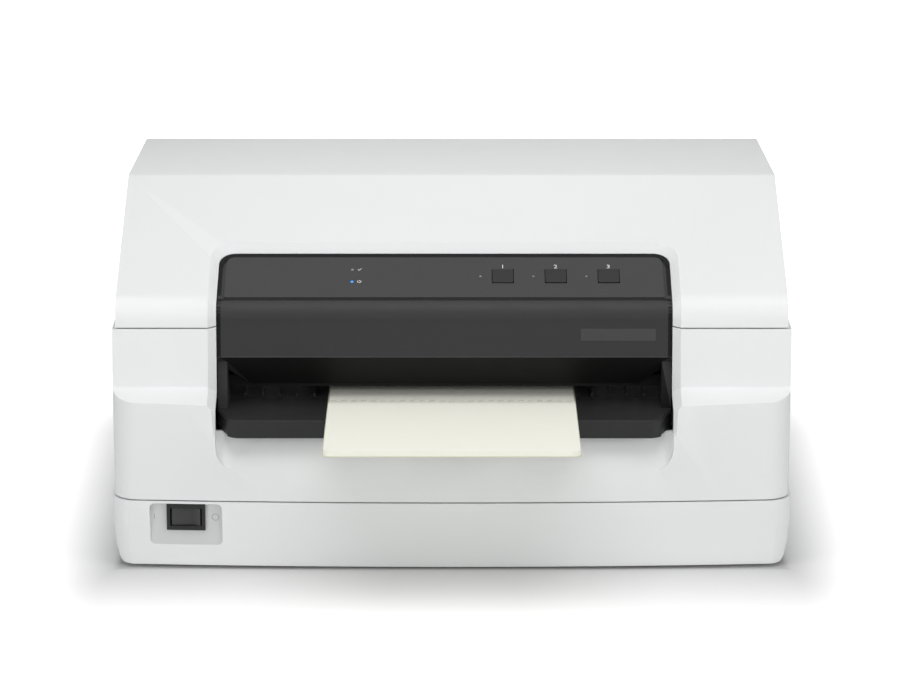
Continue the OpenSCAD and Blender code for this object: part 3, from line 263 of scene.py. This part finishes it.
# Painted shade, greyer than the case, for the floor of the power switch's recess
recessShade = moulded("recess_painted_shade", (0.6, 0.61, 0.61), 0.5, 1500, 0.000012, 0.015, 0.0)
markInk = moulded("mark_ink", (0.34, 0.35, 0.36), 0.6, 2500, 0.000004, 0.03, 0.0, 0.3)
zincSteel = metal("zinc_steel", (0.58, 0.59, 0.60), 0.34, (1, 12, 12), 0.000008, 0.3)
groundSteel = metal("ground_steel", (0.72, 0.73, 0.74), 0.2, (1, 90, 90), 0.000004, 0.12)
motorMetal = metal("motor_metal", (0.36, 0.37, 0.38), 0.42, (60, 60, 2), 0.00001, 0.3)
headMetal = metal("head_metal", (0.11, 0.112, 0.118), 0.45, (20, 20, 20), 0.00003, 0.3)
bushBronze = metal("bush_bronze", (0.55, 0.39, 0.19), 0.38, (30, 30, 30), 0.00002, 0.4)
pinGold = metal("pin_gold", (0.75, 0.56, 0.26), 0.25, (20, 20, 20), 0.000004, 0.1)


# Circuit board: pale copper tracks under green lacquer
def makeBoard():
    material, tree, shader = newMaterial("board_green", 0.0, 0.5, 0.4)
    cells = tree.nodes.new("ShaderNodeTexVoronoi")
    cells.distance = "MANHATTAN"
    cells.feature = "F1"
    cells.inputs["Scale"].default_value = 170
    link(tree, stretched(tree, objectCoords(tree), (1, 1, 0)), cells.inputs["Vector"])
    tracks = tree.nodes.new("ShaderNodeTexWave")
    tracks.bands_direction = "DIAGONAL"
    tracks.inputs["Scale"].default_value = 130
    tracks.inputs["Distortion"].default_value = 4
    link(tree, cells.outputs["Position"], tracks.inputs["Vector"])
    mask = rangeNode(tree, tracks.outputs["Fac"], 0.62, 0.68, 0, 1)
    link(tree, blended(tree, mask, (0.012, 0.085, 0.03), (0.03, 0.16, 0.055)), shader.inputs["Base Color"])
    link(tree, bumpNode(tree, mask, 0.00004), shader.inputs["Normal"])
    shader.inputs["Roughness"].default_value = 0.35
    return material


# Woven ribbon and spun thread: fine lines in two tones
def makeLines(name, colorA, colorB, direction, scale, roughness):
    material, tree, shader = newMaterial(name, 0.0, 0.3)
    wave = tree.nodes.new("ShaderNodeTexWave")
    wave.bands_direction = direction
    wave.inputs["Scale"].default_value = scale
    wave.inputs["Distortion"].default_value = 0.6
    link(tree, objectCoords(tree), wave.inputs["Vector"])
    lines = wave.outputs["Fac"]
    link(tree, blended(tree, lines, colorA, colorB), shader.inputs["Base Color"])
    link(tree, bumpNode(tree, lines, 0.00003), shader.inputs["Normal"])
    shader.inputs["Roughness"].default_value = roughness
    return material


# Paper and card: short fibres and a cloudy tone
def makePaper(name, color, fibre):
    material, tree, shader = newMaterial(name, 0.0, 0.25)
    coords = objectCoords(tree)
    fibres = noiseNode(tree, coords, 2600.0, 3.0, 0.7)
    clouds = noiseNode(tree, coords, 70.0, 4.0, 0.6)
    value = mathNode(tree, "ADD", mathNode(tree, "MULTIPLY", fibres, fibre),
                     mathNode(tree, "MULTIPLY", clouds, fibre))
    tone = shaded(tree, color, mathNode(tree, "ADD", value, 1.0 - fibre))
    link(tree, tone, shader.inputs["Base Color"])
    link(tree, bumpNode(tree, fibres, 0.00001), shader.inputs["Normal"])
    shader.inputs["Roughness"].default_value = 0.75
    return material


# Lens of an indicator, which may glow
def makeLens(name, color, glow):
    material, tree, shader = newMaterial(name, 0.0, 0.5, 0.5)
    grain = noiseNode(tree, objectCoords(tree), 900.0, 2.0)
    tone = shaded(tree, color, rangeNode(tree, grain, 0, 1, 0.8, 1.15))
    link(tree, tone, shader.inputs["Base Color"])
    shader.inputs["Emission Color"].default_value = (*color, 1)
    shader.inputs["Emission Strength"].default_value = glow
    shader.inputs["Roughness"].default_value = 0.25
    return material


boardGreen = makeBoard()
ribbonCloth = makeLines("ribbon_cloth", (0.006, 0.006, 0.007), (0.018, 0.018, 0.02), "X", 2500, 0.9)
coverCard = makePaper("cover_card", (0.62, 0.61, 0.49), 0.06)
pagePaper = makePaper("page_paper", (0.97, 0.97, 0.87), 0.03)
threadCotton = makeLines("thread_cotton", (0.52, 0.52, 0.44), (0.74, 0.74, 0.64), "DIAGONAL", 3000, 0.85)
blueLens = makeLens("blue_lens", (0.02, 0.26, 0.95), 0.9)
paleLens = makeLens("pale_lens", (0.24, 0.24, 0.25), 0.0)
print("materials made")

nodeMaterials = {
    "bottom_case": casePlastic, "middle_case": casePlastic, "top_cover": casePlastic,
    "hinge_pins": zincSteel, "front_fascia": fasciaPlastic, "control_panel": panelFilm,
    "panel_board": boardGreen, "left_key": keyPlastic, "middle_key": keyPlastic, "right_key": keyPlastic,
    "power_lens": blueLens, "ready_lens": paleLens, "key_lenses": paleLens,
    "front_tray": blackPlastic, "lower_paper_guide": blackPlastic,
    "front_upper_guide": blackPlastic, "rear_upper_guide": blackPlastic, "platen_bar": softRubber,
    "alignment_gate": zincSteel, "gate_solenoid": zincSteel, "passbook_cover": coverCard,
    "passbook_pages": pagePaper, "chassis_plate": zincSteel, "left_side_frame": zincSteel,
    "right_side_frame": zincSteel, "rear_beam": zincSteel, "shaft_bushes": bushBronze,
    "front_lower_shaft": groundSteel, "front_lower_sleeves": softRubber, "front_lower_gear": gearPlastic,
    "rear_lower_shaft": groundSteel, "rear_lower_sleeves": softRubber, "rear_lower_gear": gearPlastic,
    "front_upper_shaft": groundSteel, "front_upper_sleeves": softRubber,
    "rear_upper_shaft": groundSteel, "rear_upper_sleeves": softRubber,
    "middle_gear": gearPlastic, "motor_pinion": gearPlastic, "feed_motor": motorMetal,
    "carriage_shaft": groundSteel, "carriage_rail": zincSteel, "carriage": blackPlastic,
    "print_head": headMetal, "ribbon_cartridge": blackPlastic, "ribbon_band": ribbonCloth,
    "ribbon_knob": knobPlastic, "timing_belt": softRubber, "drive_pulley": gearPlastic,
    "idler_pulley": gearPlastic, "carriage_motor": motorMetal, "main_board": boardGreen,
    "power_supply": zincSteel, "switch_housing": blackPlastic, "rocker_switch": rockerPlastic,
    "power_inlet": blackPlastic, "connector_plate": zincSteel, "parallel_port": zincSteel,
    "rubber_feet": softRubber, "case_screws": zincSteel,
}

# Edge rounding in millimetres, where it differs from the usual one
edgeWidths = {
    "bottom_case": 0.45, "middle_case": 0.45, "top_cover": 0.45, "front_fascia": 0.5, "front_tray": 0.7,
    "control_panel": 0.15, "passbook_cover": 0.1, "passbook_pages": 0.25, "left_key": 0.5, "middle_key": 0.5,
    "right_key": 0.5, "rocker_switch": 0.6, "ribbon_band": 0.0, "front_lower_gear": 0.1,
    "rear_lower_gear": 0.1, "middle_gear": 0.1, "motor_pinion": 0.1, "power_lens": 0.1, "ready_lens": 0.1,
    "key_lenses": 0.1,
}
usualEdge = 0.25
# The windows of these nodes stand so close together that arcs at the outer corners would tangle
sharpMitres = ("lower_paper_guide", "carriage", "panel_board")


# A node gets its material, smooth faces and small rounded edges
def dressNode(name):
    node = nodes[name]
    mesh = node.data
    mesh.materials.clear()
    mesh.materials.append(nodeMaterials[name])
    for polygon in mesh.polygons:
        polygon.use_smooth = True
    width = edgeWidths.get(name, usualEdge)
    weld = node.modifiers.new("weld", "WELD")
    weld.merge_threshold = 0.000004
    if width > 0:
        flat = node.modifiers.new("flat", "DECIMATE")
        flat.decimate_type = "DISSOLVE"
        flat.angle_limit = math.radians(0.3)
        flat.delimit = {"MATERIAL"}
        bevel = node.modifiers.new("bevel", "BEVEL")
        bevel.width = width * mm
        bevel.segments = 2
        bevel.limit_method = "ANGLE"
        bevel.angle_limit = math.radians(28)
        bevel.harden_normals = True
        bevel.miter_outer = "MITER_SHARP" if name in sharpMitres else "MITER_ARC"
        even = node.modifiers.new("even", "WEIGHTED_NORMAL")
        even.mode = "FACE_AREA_WITH_ANGLE"
        even.weight = 100


for nodeName in sorted(nodes):
    dressNode(nodeName)
print("nodes dressed:", len(nodes))


def addPiece(name, mesh, material, body):
    piece = bpy.data.objects.new(name, mesh)
    bpy.context.scene.collection.objects.link(piece)
    mesh.materials.clear()
    mesh.materials.append(material)
    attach(piece, body)
    return piece


def meshFrom(name, verts, faces, smooth=False):
    mesh = bpy.data.meshes.new(name)
    mesh.from_pydata([tuple(v) for v in verts], [], faces)
    mesh.validate()
    for polygon in mesh.polygons:
        polygon.use_smooth = smooth
    return mesh


# Faces of a CAD node whose middles lie in a box get another material, if they face about the given way
def paintFaces(name, material, x, depth, z, facing=None):
    mesh = nodes[name].data
    if material.name not in mesh.materials:
        mesh.materials.append(material)
    slot = mesh.materials.find(material.name)
    low, high = point(x[0], depth[0], z[0]), point(x[1], depth[1], z[1])
    near = 0.001 * mm
    for polygon in mesh.polygons:
        c = polygon.center
        inside = all(low[i] - near <= c[i] <= high[i] + near for i in range(3))
        if inside and (facing is None or polygon.normal.dot(facing) > 0.5):
            polygon.material_index = slot


# Painted shade: the throat over the slot is painted darker than the fascia, and the floor of the switch's
# recess greyer than the case
paintFaces("front_fascia", paintedShadeBlack, x=(-123, 123), depth=(26, 60), z=(88, 120.1))
paintFaces("front_upper_guide", paintedShadeBlack, x=(-200, 200), depth=(30, 60), z=(88, 130))
paintFaces("bottom_case", recessShade, x=(-172, -130), depth=(5.1, 7.6), z=(15, 40), facing=-fromFront)
print("faces painted")

surfaceTrees = {}


# Where a ray meets a node's surface, and the surface's normal there
def surfaceHit(name, start, direction):
    if name not in surfaceTrees:
        mesh = nodes[name].data
        surfaceTrees[name] = BVHTree.FromPolygons(
            [v.co for v in mesh.vertices], [tuple(p.vertices) for p in mesh.polygons])
    return surfaceTrees[name].ray_cast(start, direction)[:2]


# Local frame on a node's surface where a ray from outside meets it: X right, Y up the surface, Z out
def surfaceFrame(name, start, direction):
    hit, normal = surfaceHit(name, start, direction)
    if normal.dot(direction) > 0:
        normal = -normal
    right = Vector((1, 0, 0))
    right = (right - normal * right.dot(normal)).normalized()
    up = normal.cross(right)
    return Matrix.Translation(hit) @ Matrix((right, up, normal)).transposed().to_4x4()


inkLift = 0.02    # height of printed marks over what carries them, in millimetres


def textMesh(name, words, size):
    curve = bpy.data.curves.new(name, "FONT")
    curve.body = words
    curve.size = size * mm
    curve.align_x = "CENTER"
    curve.align_y = "CENTER"
    curve.extrude = inkLift * mm
    curve.resolution_u = 3
    holder = bpy.data.objects.new(name, curve)
    bpy.context.scene.collection.objects.link(holder)
    bpy.context.view_layer.update()
    mesh = bpy.data.meshes.new_from_object(holder)
    bpy.data.objects.remove(holder)
    return mesh


# Flat pieces of a mark, in millimetres on its own plane: a part of a ring, a bar and any outline
def ringPart(radius, width, start, end, steps=28):
    verts = []
    for i in range(steps + 1):
        a = math.radians(start + (end - start) * i / steps)
        for r in (radius - width / 2, radius + width / 2):
            verts.append((r * math.cos(a) * mm, r * math.sin(a) * mm, inkLift * mm))
    faces = [(2 * i, 2 * i + 1, 2 * i + 3, 2 * i + 2) for i in range(steps)]
    return verts, faces


def flatPart(corners, faces):
    return [(x * mm, y * mm, inkLift * mm) for x, y in corners], faces


def barPart(x0, y0, x1, y1):
    return flatPart([(x0, y0), (x1, y0), (x1, y1), (x0, y1)], [(0, 1, 2, 3)])


# Faces of a tube of equal rings that is closed at both ends
def tubeFaces(rings, sides):
    faces = []
    for first in range(0, (rings - 1) * sides, sides):
        for i in range(sides):
            j = (i + 1) % sides
            faces.append((first + i, first + j, first + sides + j, first + sides + i))
    faces.append(tuple(reversed(range(sides))))
    faces.append(tuple(range((rings - 1) * sides, rings * sides)))
    return faces


def joined(name, parts, smooth=False):
    verts, faces = [], []
    for partVerts, partFaces in parts:
        faces += [tuple(i + len(verts) for i in face) for face in partFaces]
        verts += partVerts
    return meshFrom(name, verts, faces, smooth)


intoPanel = Vector((0, math.sin(slopeAngle), -math.cos(slopeAngle)))
upPanel = Vector((0, math.cos(slopeAngle), math.sin(slopeAngle)))
# In millimetres: the slope ends at the roof, and the panel's middle lies on it
panelPlane = {"roofHeight": 203, "slopeEnd": 133, "middle": 51.5}
slopeDrop = (panelPlane["slopeEnd"] - panelPlane["middle"]) * math.tan(slopeAngle)
panelCentre = point(0, panelPlane["middle"], panelPlane["roofHeight"] - slopeDrop)


def onPanel(x, y):
    spot = panelCentre + Vector((x * mm, 0, 0)) + upPanel * y * mm
    return surfaceFrame("control_panel", spot + intoPanel * outside * mm, intoPanel)


# Painted shade: a thin dark sheet round the fascia stands for the shaded gap between the bevel and the panel,
# in millimetres. Its two lines are (half width, upper end, corner radius)
fasciaRim = {
    "outer": (129.05, 20.45, 9.1), "inner": (127.0, 17.3, 7.5), "middle": -4.2, "sideFace": 128,
    "bottom": 120.4, "steps": 26, "cornerSteps": 12, "lift": 0.03, "thickness": 0.02,
}


def makeRim():
    r = fasciaRim
    plane = onPanel(0, 0)
    along = []
    cornerY = r["outer"][1] - r["outer"][2]
    top = (plane @ Vector((0, cornerY * mm, 0))).z / mm
    for k in range(r["steps"]):
        z = r["bottom"] + (top - r["bottom"]) * k / r["steps"]
        start = point(r["middle"] + r["sideFace"], outside, z)
        hit, normal = surfaceHit("front_fascia", start, fromFront)
        along.append(hit + normal * r["lift"] * mm)
    rows = [((r["outer"][0], hit.y, hit.z), (r["inner"][0], hit.y, hit.z)) for hit in along]
    for k in range(r["cornerSteps"] + 1):
        a = math.radians(90 * k / r["cornerSteps"])
        pair = []
        for half, upper, radius in (r["outer"], r["inner"]):
            spot = plane @ Vector((0, (upper - radius + radius * math.sin(a)) * mm, r["lift"] * mm))
            pair.append((half - radius + radius * math.cos(a), spot.y, spot.z))
        rows.append(tuple(pair))
    rows += [tuple((-x, y, z) for x, y, z in pair) for pair in reversed(rows)]
    verts = [((r["middle"] + x) * mm, y, z) for pair in rows for x, y, z in pair]
    faces = [(2 * k, 2 * k + 1, 2 * k + 3, 2 * k + 2) for k in range(len(rows) - 1)]
    rim = addPiece("fascia_rim_shade", meshFrom("fascia_rim_shade", verts, faces), paintedShadeBlack, "base")
    solid = rim.modifiers.new("thickness", "SOLIDIFY")
    solid.thickness = r["thickness"] * mm


makeRim()

# Places on the panel, in millimetres to the right of its middle and up its slope
keyNumbers = {"places": (29.2, 59.5, 89.8), "up": 8.6, "size": 4.6}
lensMarks = {"x": -52.8, "powerUp": -4.9, "readyUp": 6}


def makePanelMarks():
    for number, x in enumerate(keyNumbers["places"], 1):
        mesh = textMesh("key_number", str(number), keyNumbers["size"])
        piece = addPiece("key_number_%d" % number, mesh, printInk, "base")
        piece.matrix_world = onPanel(x, keyNumbers["up"])
    power = joined("power_mark", [ringPart(1.0, 0.32, -235, 55), barPart(-0.16, 0.1, 0.16, 1.35)])
    piece = addPiece("power_mark", power, printInk, "base")
    piece.matrix_world = onPanel(lensMarks["x"], lensMarks["powerUp"])
    tick = [(-1.1, 0.1), (-0.35, -0.95), (1.2, 0.95), (0.95, 1.1), (-0.38, -0.4), (-0.85, 0.3)]
    ready = joined("ready_mark", [flatPart(tick, [(0, 1, 4, 5), (1, 2, 3, 4)])])
    piece = addPiece("ready_mark", ready, printInk, "base")
    piece.matrix_world = onPanel(lensMarks["x"], lensMarks["readyUp"])


makePanelMarks()

# Bare plate with rounded corners on the lower facet of the fascia, in millimetres
blankPlate = {"width": 42.6, "height": 7.0, "thickness": 0.15, "radius": 0.8, "edge": 0.12, "under": 0.2,
              "cornerSteps": 6, "x": 94.5, "z": 133.0}


def roundedPlate(name, plate):
    outline = []
    radius, thickness, edge = plate["radius"], plate["thickness"], plate["edge"]
    for cx, cy, start in ((1, 1, 0), (-1, 1, 90), (-1, -1, 180), (1, -1, 270)):
        x, y = cx * (plate["width"] / 2 - radius), cy * (plate["height"] / 2 - radius)
        for k in range(plate["cornerSteps"] + 1):
            a = math.radians(start + 90 * k / plate["cornerSteps"])
            outline.append((x, y, math.cos(a), math.sin(a)))
    rings = [(0, -plate["under"]), (0, thickness - edge), (edge * 0.3, thickness - edge * 0.3),
             (edge, thickness)]
    verts = []
    for inward, z in rings:
        r = radius - inward
        verts += [((x + c * r) * mm, (y + s * r) * mm, z * mm) for x, y, c, s in outline]
    return meshFrom(name, verts, tubeFaces(len(rings), len(outline)))


plate = addPiece("blank_plate", roundedPlate("blank_plate", blankPlate), platePlastic, "base")
plate.matrix_world = surfaceFrame(
    "front_fascia", point(blankPlate["x"], outside, blankPlate["z"]), fromFront)

# Marks beside the power switch: where they stand, and their shapes
switchMarks = {
    "height": 31.7,
    "switch_on_mark": (-169.2, barPart(-0.22, -1.5, 0.22, 1.5)),
    "switch_off_mark": (-134.4, ringPart(1.9, 0.4, 0, 360)),
}
for name in ("switch_on_mark", "switch_off_mark"):
    x, part = switchMarks[name]
    piece = addPiece(name, joined(name, [part]), markInk, "base")
    piece.matrix_world = surfaceFrame("bottom_case", point(x, outside, switchMarks["height"]), fromFront)
print("marks made")


# Slab along Y, in millimetres: every station is (depth, half width, bottom, top)
def slabPart(stations):
    verts = []
    for depth, half, low, high in stations:
        for x, z in ((-half, low), (half, low), (half, high), (-half, high)):
            verts.append(point(x, depth, z))
    return verts, tubeFaces(len(stations), 4)


# The open passbook, in millimetres: two halves of thin leaves that dip towards the sewn fold
passbook = {
    "fold": 31.4, "front": -73.3, "back": 136.1, "half": 70.6, "low": 91.12, "high": 94.0, "leaves": 8,
    "air": 0.05, "corner": 4.5, "dip": 1.1, "dipLength": 5.0, "stagger": 0.09, "narrow": 0.4,
    "fromFold": (0.15, 0.8, 1.6, 2.6, 4, 6, 9, 14, 30, 60), "cornerAngles": (20, 40, 60, 75, 90),
}
stitch = {"pitch": 5.6, "length": 3.7, "radius": 0.24, "sides": 8, "end": 0.35, "raised": 0.6}


# Leaf k of the front half (side -1) or the back half (side 1), from the fold to its rounded corners
def leafStations(k, side):
    b = passbook
    reach = b["fold"] - b["front"] if side < 0 else b["back"] - b["fold"]
    length = reach - b["stagger"] * k
    share = (b["high"] - b["low"]) / b["leaves"]
    half = b["half"] - b["stagger"] * 0.5 * k - (b["narrow"] if side > 0 else 0)
    steps = [*b["fromFold"], length - b["corner"]]
    steps += [length - b["corner"] * (1 - math.sin(math.radians(a))) for a in b["cornerAngles"]]
    stations = []
    for s in steps:
        dip = b["dip"] * math.exp(-(s / b["dipLength"]) ** 1.5)
        into = max(0.0, (s - length + b["corner"]) / b["corner"])
        width = half - b["corner"] * (1 - math.sqrt(max(0.0, 1 - into * into)))
        scale = 1 - dip / (b["high"] - b["low"])
        low = b["low"] + share * k * scale
        high = low + share * scale - b["air"]
        stations.append((b["fold"] + side * s, width, low, high))
    return stations if side > 0 else stations[::-1]


# One stitch in the fold: full in the middle, with thin ends that sink into the paper
def stitchPart(x):
    radius, half = stitch["radius"], stitch["length"] / 2
    inner = half - stitch["end"]
    height = passbook["high"] - passbook["dip"] + radius * stitch["raised"]
    rings = [(-half, 0.3, -0.2), (-inner, 0.85, 0.0), (0, 1.0, 0.12), (inner, 0.85, 0.0), (half, 0.3, -0.2)]
    verts = []
    for along, swell, lift in rings:
        for i in range(stitch["sides"]):
            a = 2 * math.pi * i / stitch["sides"]
            depth = passbook["fold"] + swell * radius * math.cos(a)
            verts.append(point(x + along, depth, height + lift + swell * radius * math.sin(a)))
    return verts, tubeFaces(len(rings), stitch["sides"])


def makePassbook():
    parts = [slabPart(leafStations(k, side)) for side in (-1, 1) for k in range(passbook["leaves"])]
    mesh = joined("passbook_leaves", parts)
    leaves = addPiece("passbook_leaves", mesh, pagePaper, "passbook")
    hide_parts("passbook_pages")
    count = int(2 * passbook["half"] / stitch["pitch"])
    stitches = [stitchPart((k - (count - 1) / 2) * stitch["pitch"]) for k in range(count)]
    mesh = joined("passbook_thread", stitches, True)
    addPiece("passbook_thread", mesh, threadCotton, "passbook")


makePassbook()
print("passbook made")


# Rounded blocks given by their (x, depth, height) ranges in millimetres, joined in one mesh
def blockMesh(name, blocks, edge):
    build = bmesh.new()
    for x, depth, z in blocks:
        made = bmesh.ops.create_cube(build, size=1.0)
        size = Vector((x[1] - x[0], depth[1] - depth[0], z[1] - z[0])) * mm
        middle = point((x[0] + x[1]) / 2, (depth[0] + depth[1]) / 2, (z[0] + z[1]) / 2)
        bmesh.ops.scale(build, vec=size, verts=made["verts"])
        bmesh.ops.translate(build, vec=middle, verts=made["verts"])
        edges = {e for v in made["verts"] for e in v.link_edges}
        bmesh.ops.bevel(build, geom=list(edges), offset=edge * mm, segments=2, affect="EDGES", profile=0.6)
    mesh = bpy.data.meshes.new(name)
    build.to_mesh(mesh)
    build.free()
    return mesh


# The back, in millimetres. Depths are counted inwards from the back face
backFace = 276.2
ports = [((60, 92), 12), ((110, 116), 2), ((132, 138), 2)]    # reach in x, and contacts in a row
portInside = {"margin": 0.1, "depth": (10.2, 1.9), "height": (21.4, 24.6)}
contact = {"half": 0.45, "depth": (9.6, 2.6), "rows": (21.38, 24.42), "thickness": 0.2, "edge": 0.05}
inletPins = {"x": (-158, -142), "depth": (15.1, 4.9), "height": (17.5, 25)}


def fromBack(depths):
    return backFace - depths[0], backFace - depths[1]


def dressBack():
    blocks = []
    for (start, end), count in ports:
        reach = (start - portInside["margin"], end + portInside["margin"])
        paintFaces("parallel_port", blackPlastic, reach, fromBack(portInside["depth"]), portInside["height"])
        for k in range(count):
            x = start + (end - start) / count * (k + 0.5)
            for z in contact["rows"]:
                blocks.append(((x - contact["half"], x + contact["half"]), fromBack(contact["depth"]),
                               (z, z + contact["thickness"])))
    mesh = blockMesh("port_contacts", blocks, contact["edge"])
    addPiece("port_contacts", mesh, pinGold, "base")
    paintFaces("power_inlet", groundSteel, inletPins["x"], fromBack(inletPins["depth"]), inletPins["height"])


dressBack()
print("back dressed")


# In metres: the case's footprint, how far its shade reaches, and how light the floor is there
stage = {
    "halfWidth": 0.194, "front": -0.098, "back": 0.17, "under": 0.004, "sideReach": 0.05,
    "frontReach": 0.13, "floor": 0.86, "seenFloor": 0.5, "near": 0.16, "far": 0.95,
    "plane": [(-9, -6, 0), (9, -6, 0), (9, 9, 0), (-9, 9, 0)],
}
worldLevel = 0.28    # strength of the white world, where no camera or mirror sees it


# The floor bounces light as white paper does; the camera sees it with a soft contact shade that ends in white
def makeFloor():
    mesh = meshFrom("floor", stage["plane"], [(0, 1, 2, 3)])
    floor = bpy.data.objects.new("floor", mesh)
    bpy.context.scene.collection.objects.link(floor)
    material = bpy.data.materials.new("floor_paper")
    material.use_nodes = True
    tree = material.node_tree
    shader = tree.nodes["Principled BSDF"]
    shader.inputs["Roughness"].default_value = 0.9
    shader.inputs["Specular IOR Level"].default_value = 0.1
    split = tree.nodes.new("ShaderNodeSeparateXYZ")
    link(tree, objectCoords(tree), split.inputs[0])
    middle = (stage["front"] + stage["back"]) / 2
    deep = (stage["back"] - stage["front"]) / 2
    acrossX = mathNode(tree, "ABSOLUTE", split.outputs["X"])
    acrossY = mathNode(tree, "ABSOLUTE", mathNode(tree, "SUBTRACT", split.outputs["Y"], middle))
    side = mathNode(tree, "SUBTRACT", acrossX, stage["halfWidth"])
    along = mathNode(tree, "SUBTRACT", acrossY, deep)
    clear = rangeNode(tree, mathNode(tree, "MAXIMUM", side, along), -stage["under"], 0, 0, 1)
    side = mathNode(tree, "DIVIDE", mathNode(tree, "MAXIMUM", side), stage["sideReach"])
    along = mathNode(tree, "DIVIDE", mathNode(tree, "MAXIMUM", along), stage["frontReach"])
    squares = mathNode(tree, "ADD", mathNode(tree, "MULTIPLY", side, side),
                       mathNode(tree, "MULTIPLY", along, along))
    away = mathNode(tree, "SQRT", squares)
    glow = mathNode(tree, "MULTIPLY", clear, rangeNode(tree, away, 0, 1, stage["near"], stage["far"]))
    seen = tree.nodes.new("ShaderNodeLightPath").outputs["Is Camera Ray"]
    lift = tree.nodes.new("ShaderNodeEmission")
    lift.inputs["Color"].default_value = (1, 1, 1, 1)
    link(tree, mathNode(tree, "MULTIPLY", seen, glow), lift.inputs["Strength"])
    tone = tree.nodes.new("ShaderNodeCombineColor")
    level = rangeNode(tree, seen, 0, 1, stage["floor"], stage["seenFloor"])
    for channel in ("Red", "Green", "Blue"):
        link(tree, level, tone.inputs[channel])
    link(tree, tone.outputs[0], shader.inputs["Base Color"])
    add = tree.nodes.new("ShaderNodeAddShader")
    link(tree, shader.outputs[0], add.inputs[0])
    link(tree, lift.outputs[0], add.inputs[1])
    link(tree, add.outputs[0], tree.nodes["Material Output"].inputs["Surface"])
    mesh.materials.append(material)


def makeWorld():
    world = bpy.data.worlds.new("studio")
    bpy.context.scene.world = world
    world.use_nodes = True
    tree = world.node_tree
    background = tree.nodes["Background"]
    background.inputs["Color"].default_value = (1, 1, 1, 1)
    path = tree.nodes.new("ShaderNodeLightPath")
    mirrored = mathNode(tree, "MAXIMUM", path.outputs["Is Glossy Ray"], path.outputs["Is Transmission Ray"])
    seen = mathNode(tree, "MAXIMUM", path.outputs["Is Camera Ray"], mirrored)
    link(tree, rangeNode(tree, seen, 0, 1, worldLevel, 1.0), background.inputs["Strength"])


# Lamps: where each stands, what it faces, its width and height in metres, and its watts
lamps = {
    "top": ((0, -0.28, 0.77), (0, -0.06, 0.1), (0.65, 0.5), 3.0),
    "left": ((-0.9, -0.75, 0.35), (0, -0.05, 0.1), (0.5, 0.5), 2.8),
    "right": ((0.9, -0.75, 0.35), (0, -0.05, 0.1), (0.5, 0.5), 3.0),
    "front": ((0, -1.05, 0.2), (0, -0.05, 0.04), (0.9, 0.3), 0.8),
    "back": ((0, 1.15, 0.11), (0, 0.2, 0.1), (1.2, 0.18), 3.2),
}


def areaLamp(name, location, aim, size, power):
    data = bpy.data.lights.new(name, "AREA")
    data.shape = "RECTANGLE"
    data.size, data.size_y = size
    data.energy = power
    lamp = bpy.data.objects.new(name, data)
    lamp.location = location
    lamp.visible_camera = False
    lamp.rotation_euler = (Vector(aim) - Vector(location)).to_track_quat("-Z", "Y").to_euler()
    bpy.context.scene.collection.objects.link(lamp)


makeFloor()
makeWorld()
for name, (location, aim, size, power) in lamps.items():
    areaLamp(name, location, aim, size, power)
bpy.context.scene.view_settings.view_transform = "Standard"
print("stage set")
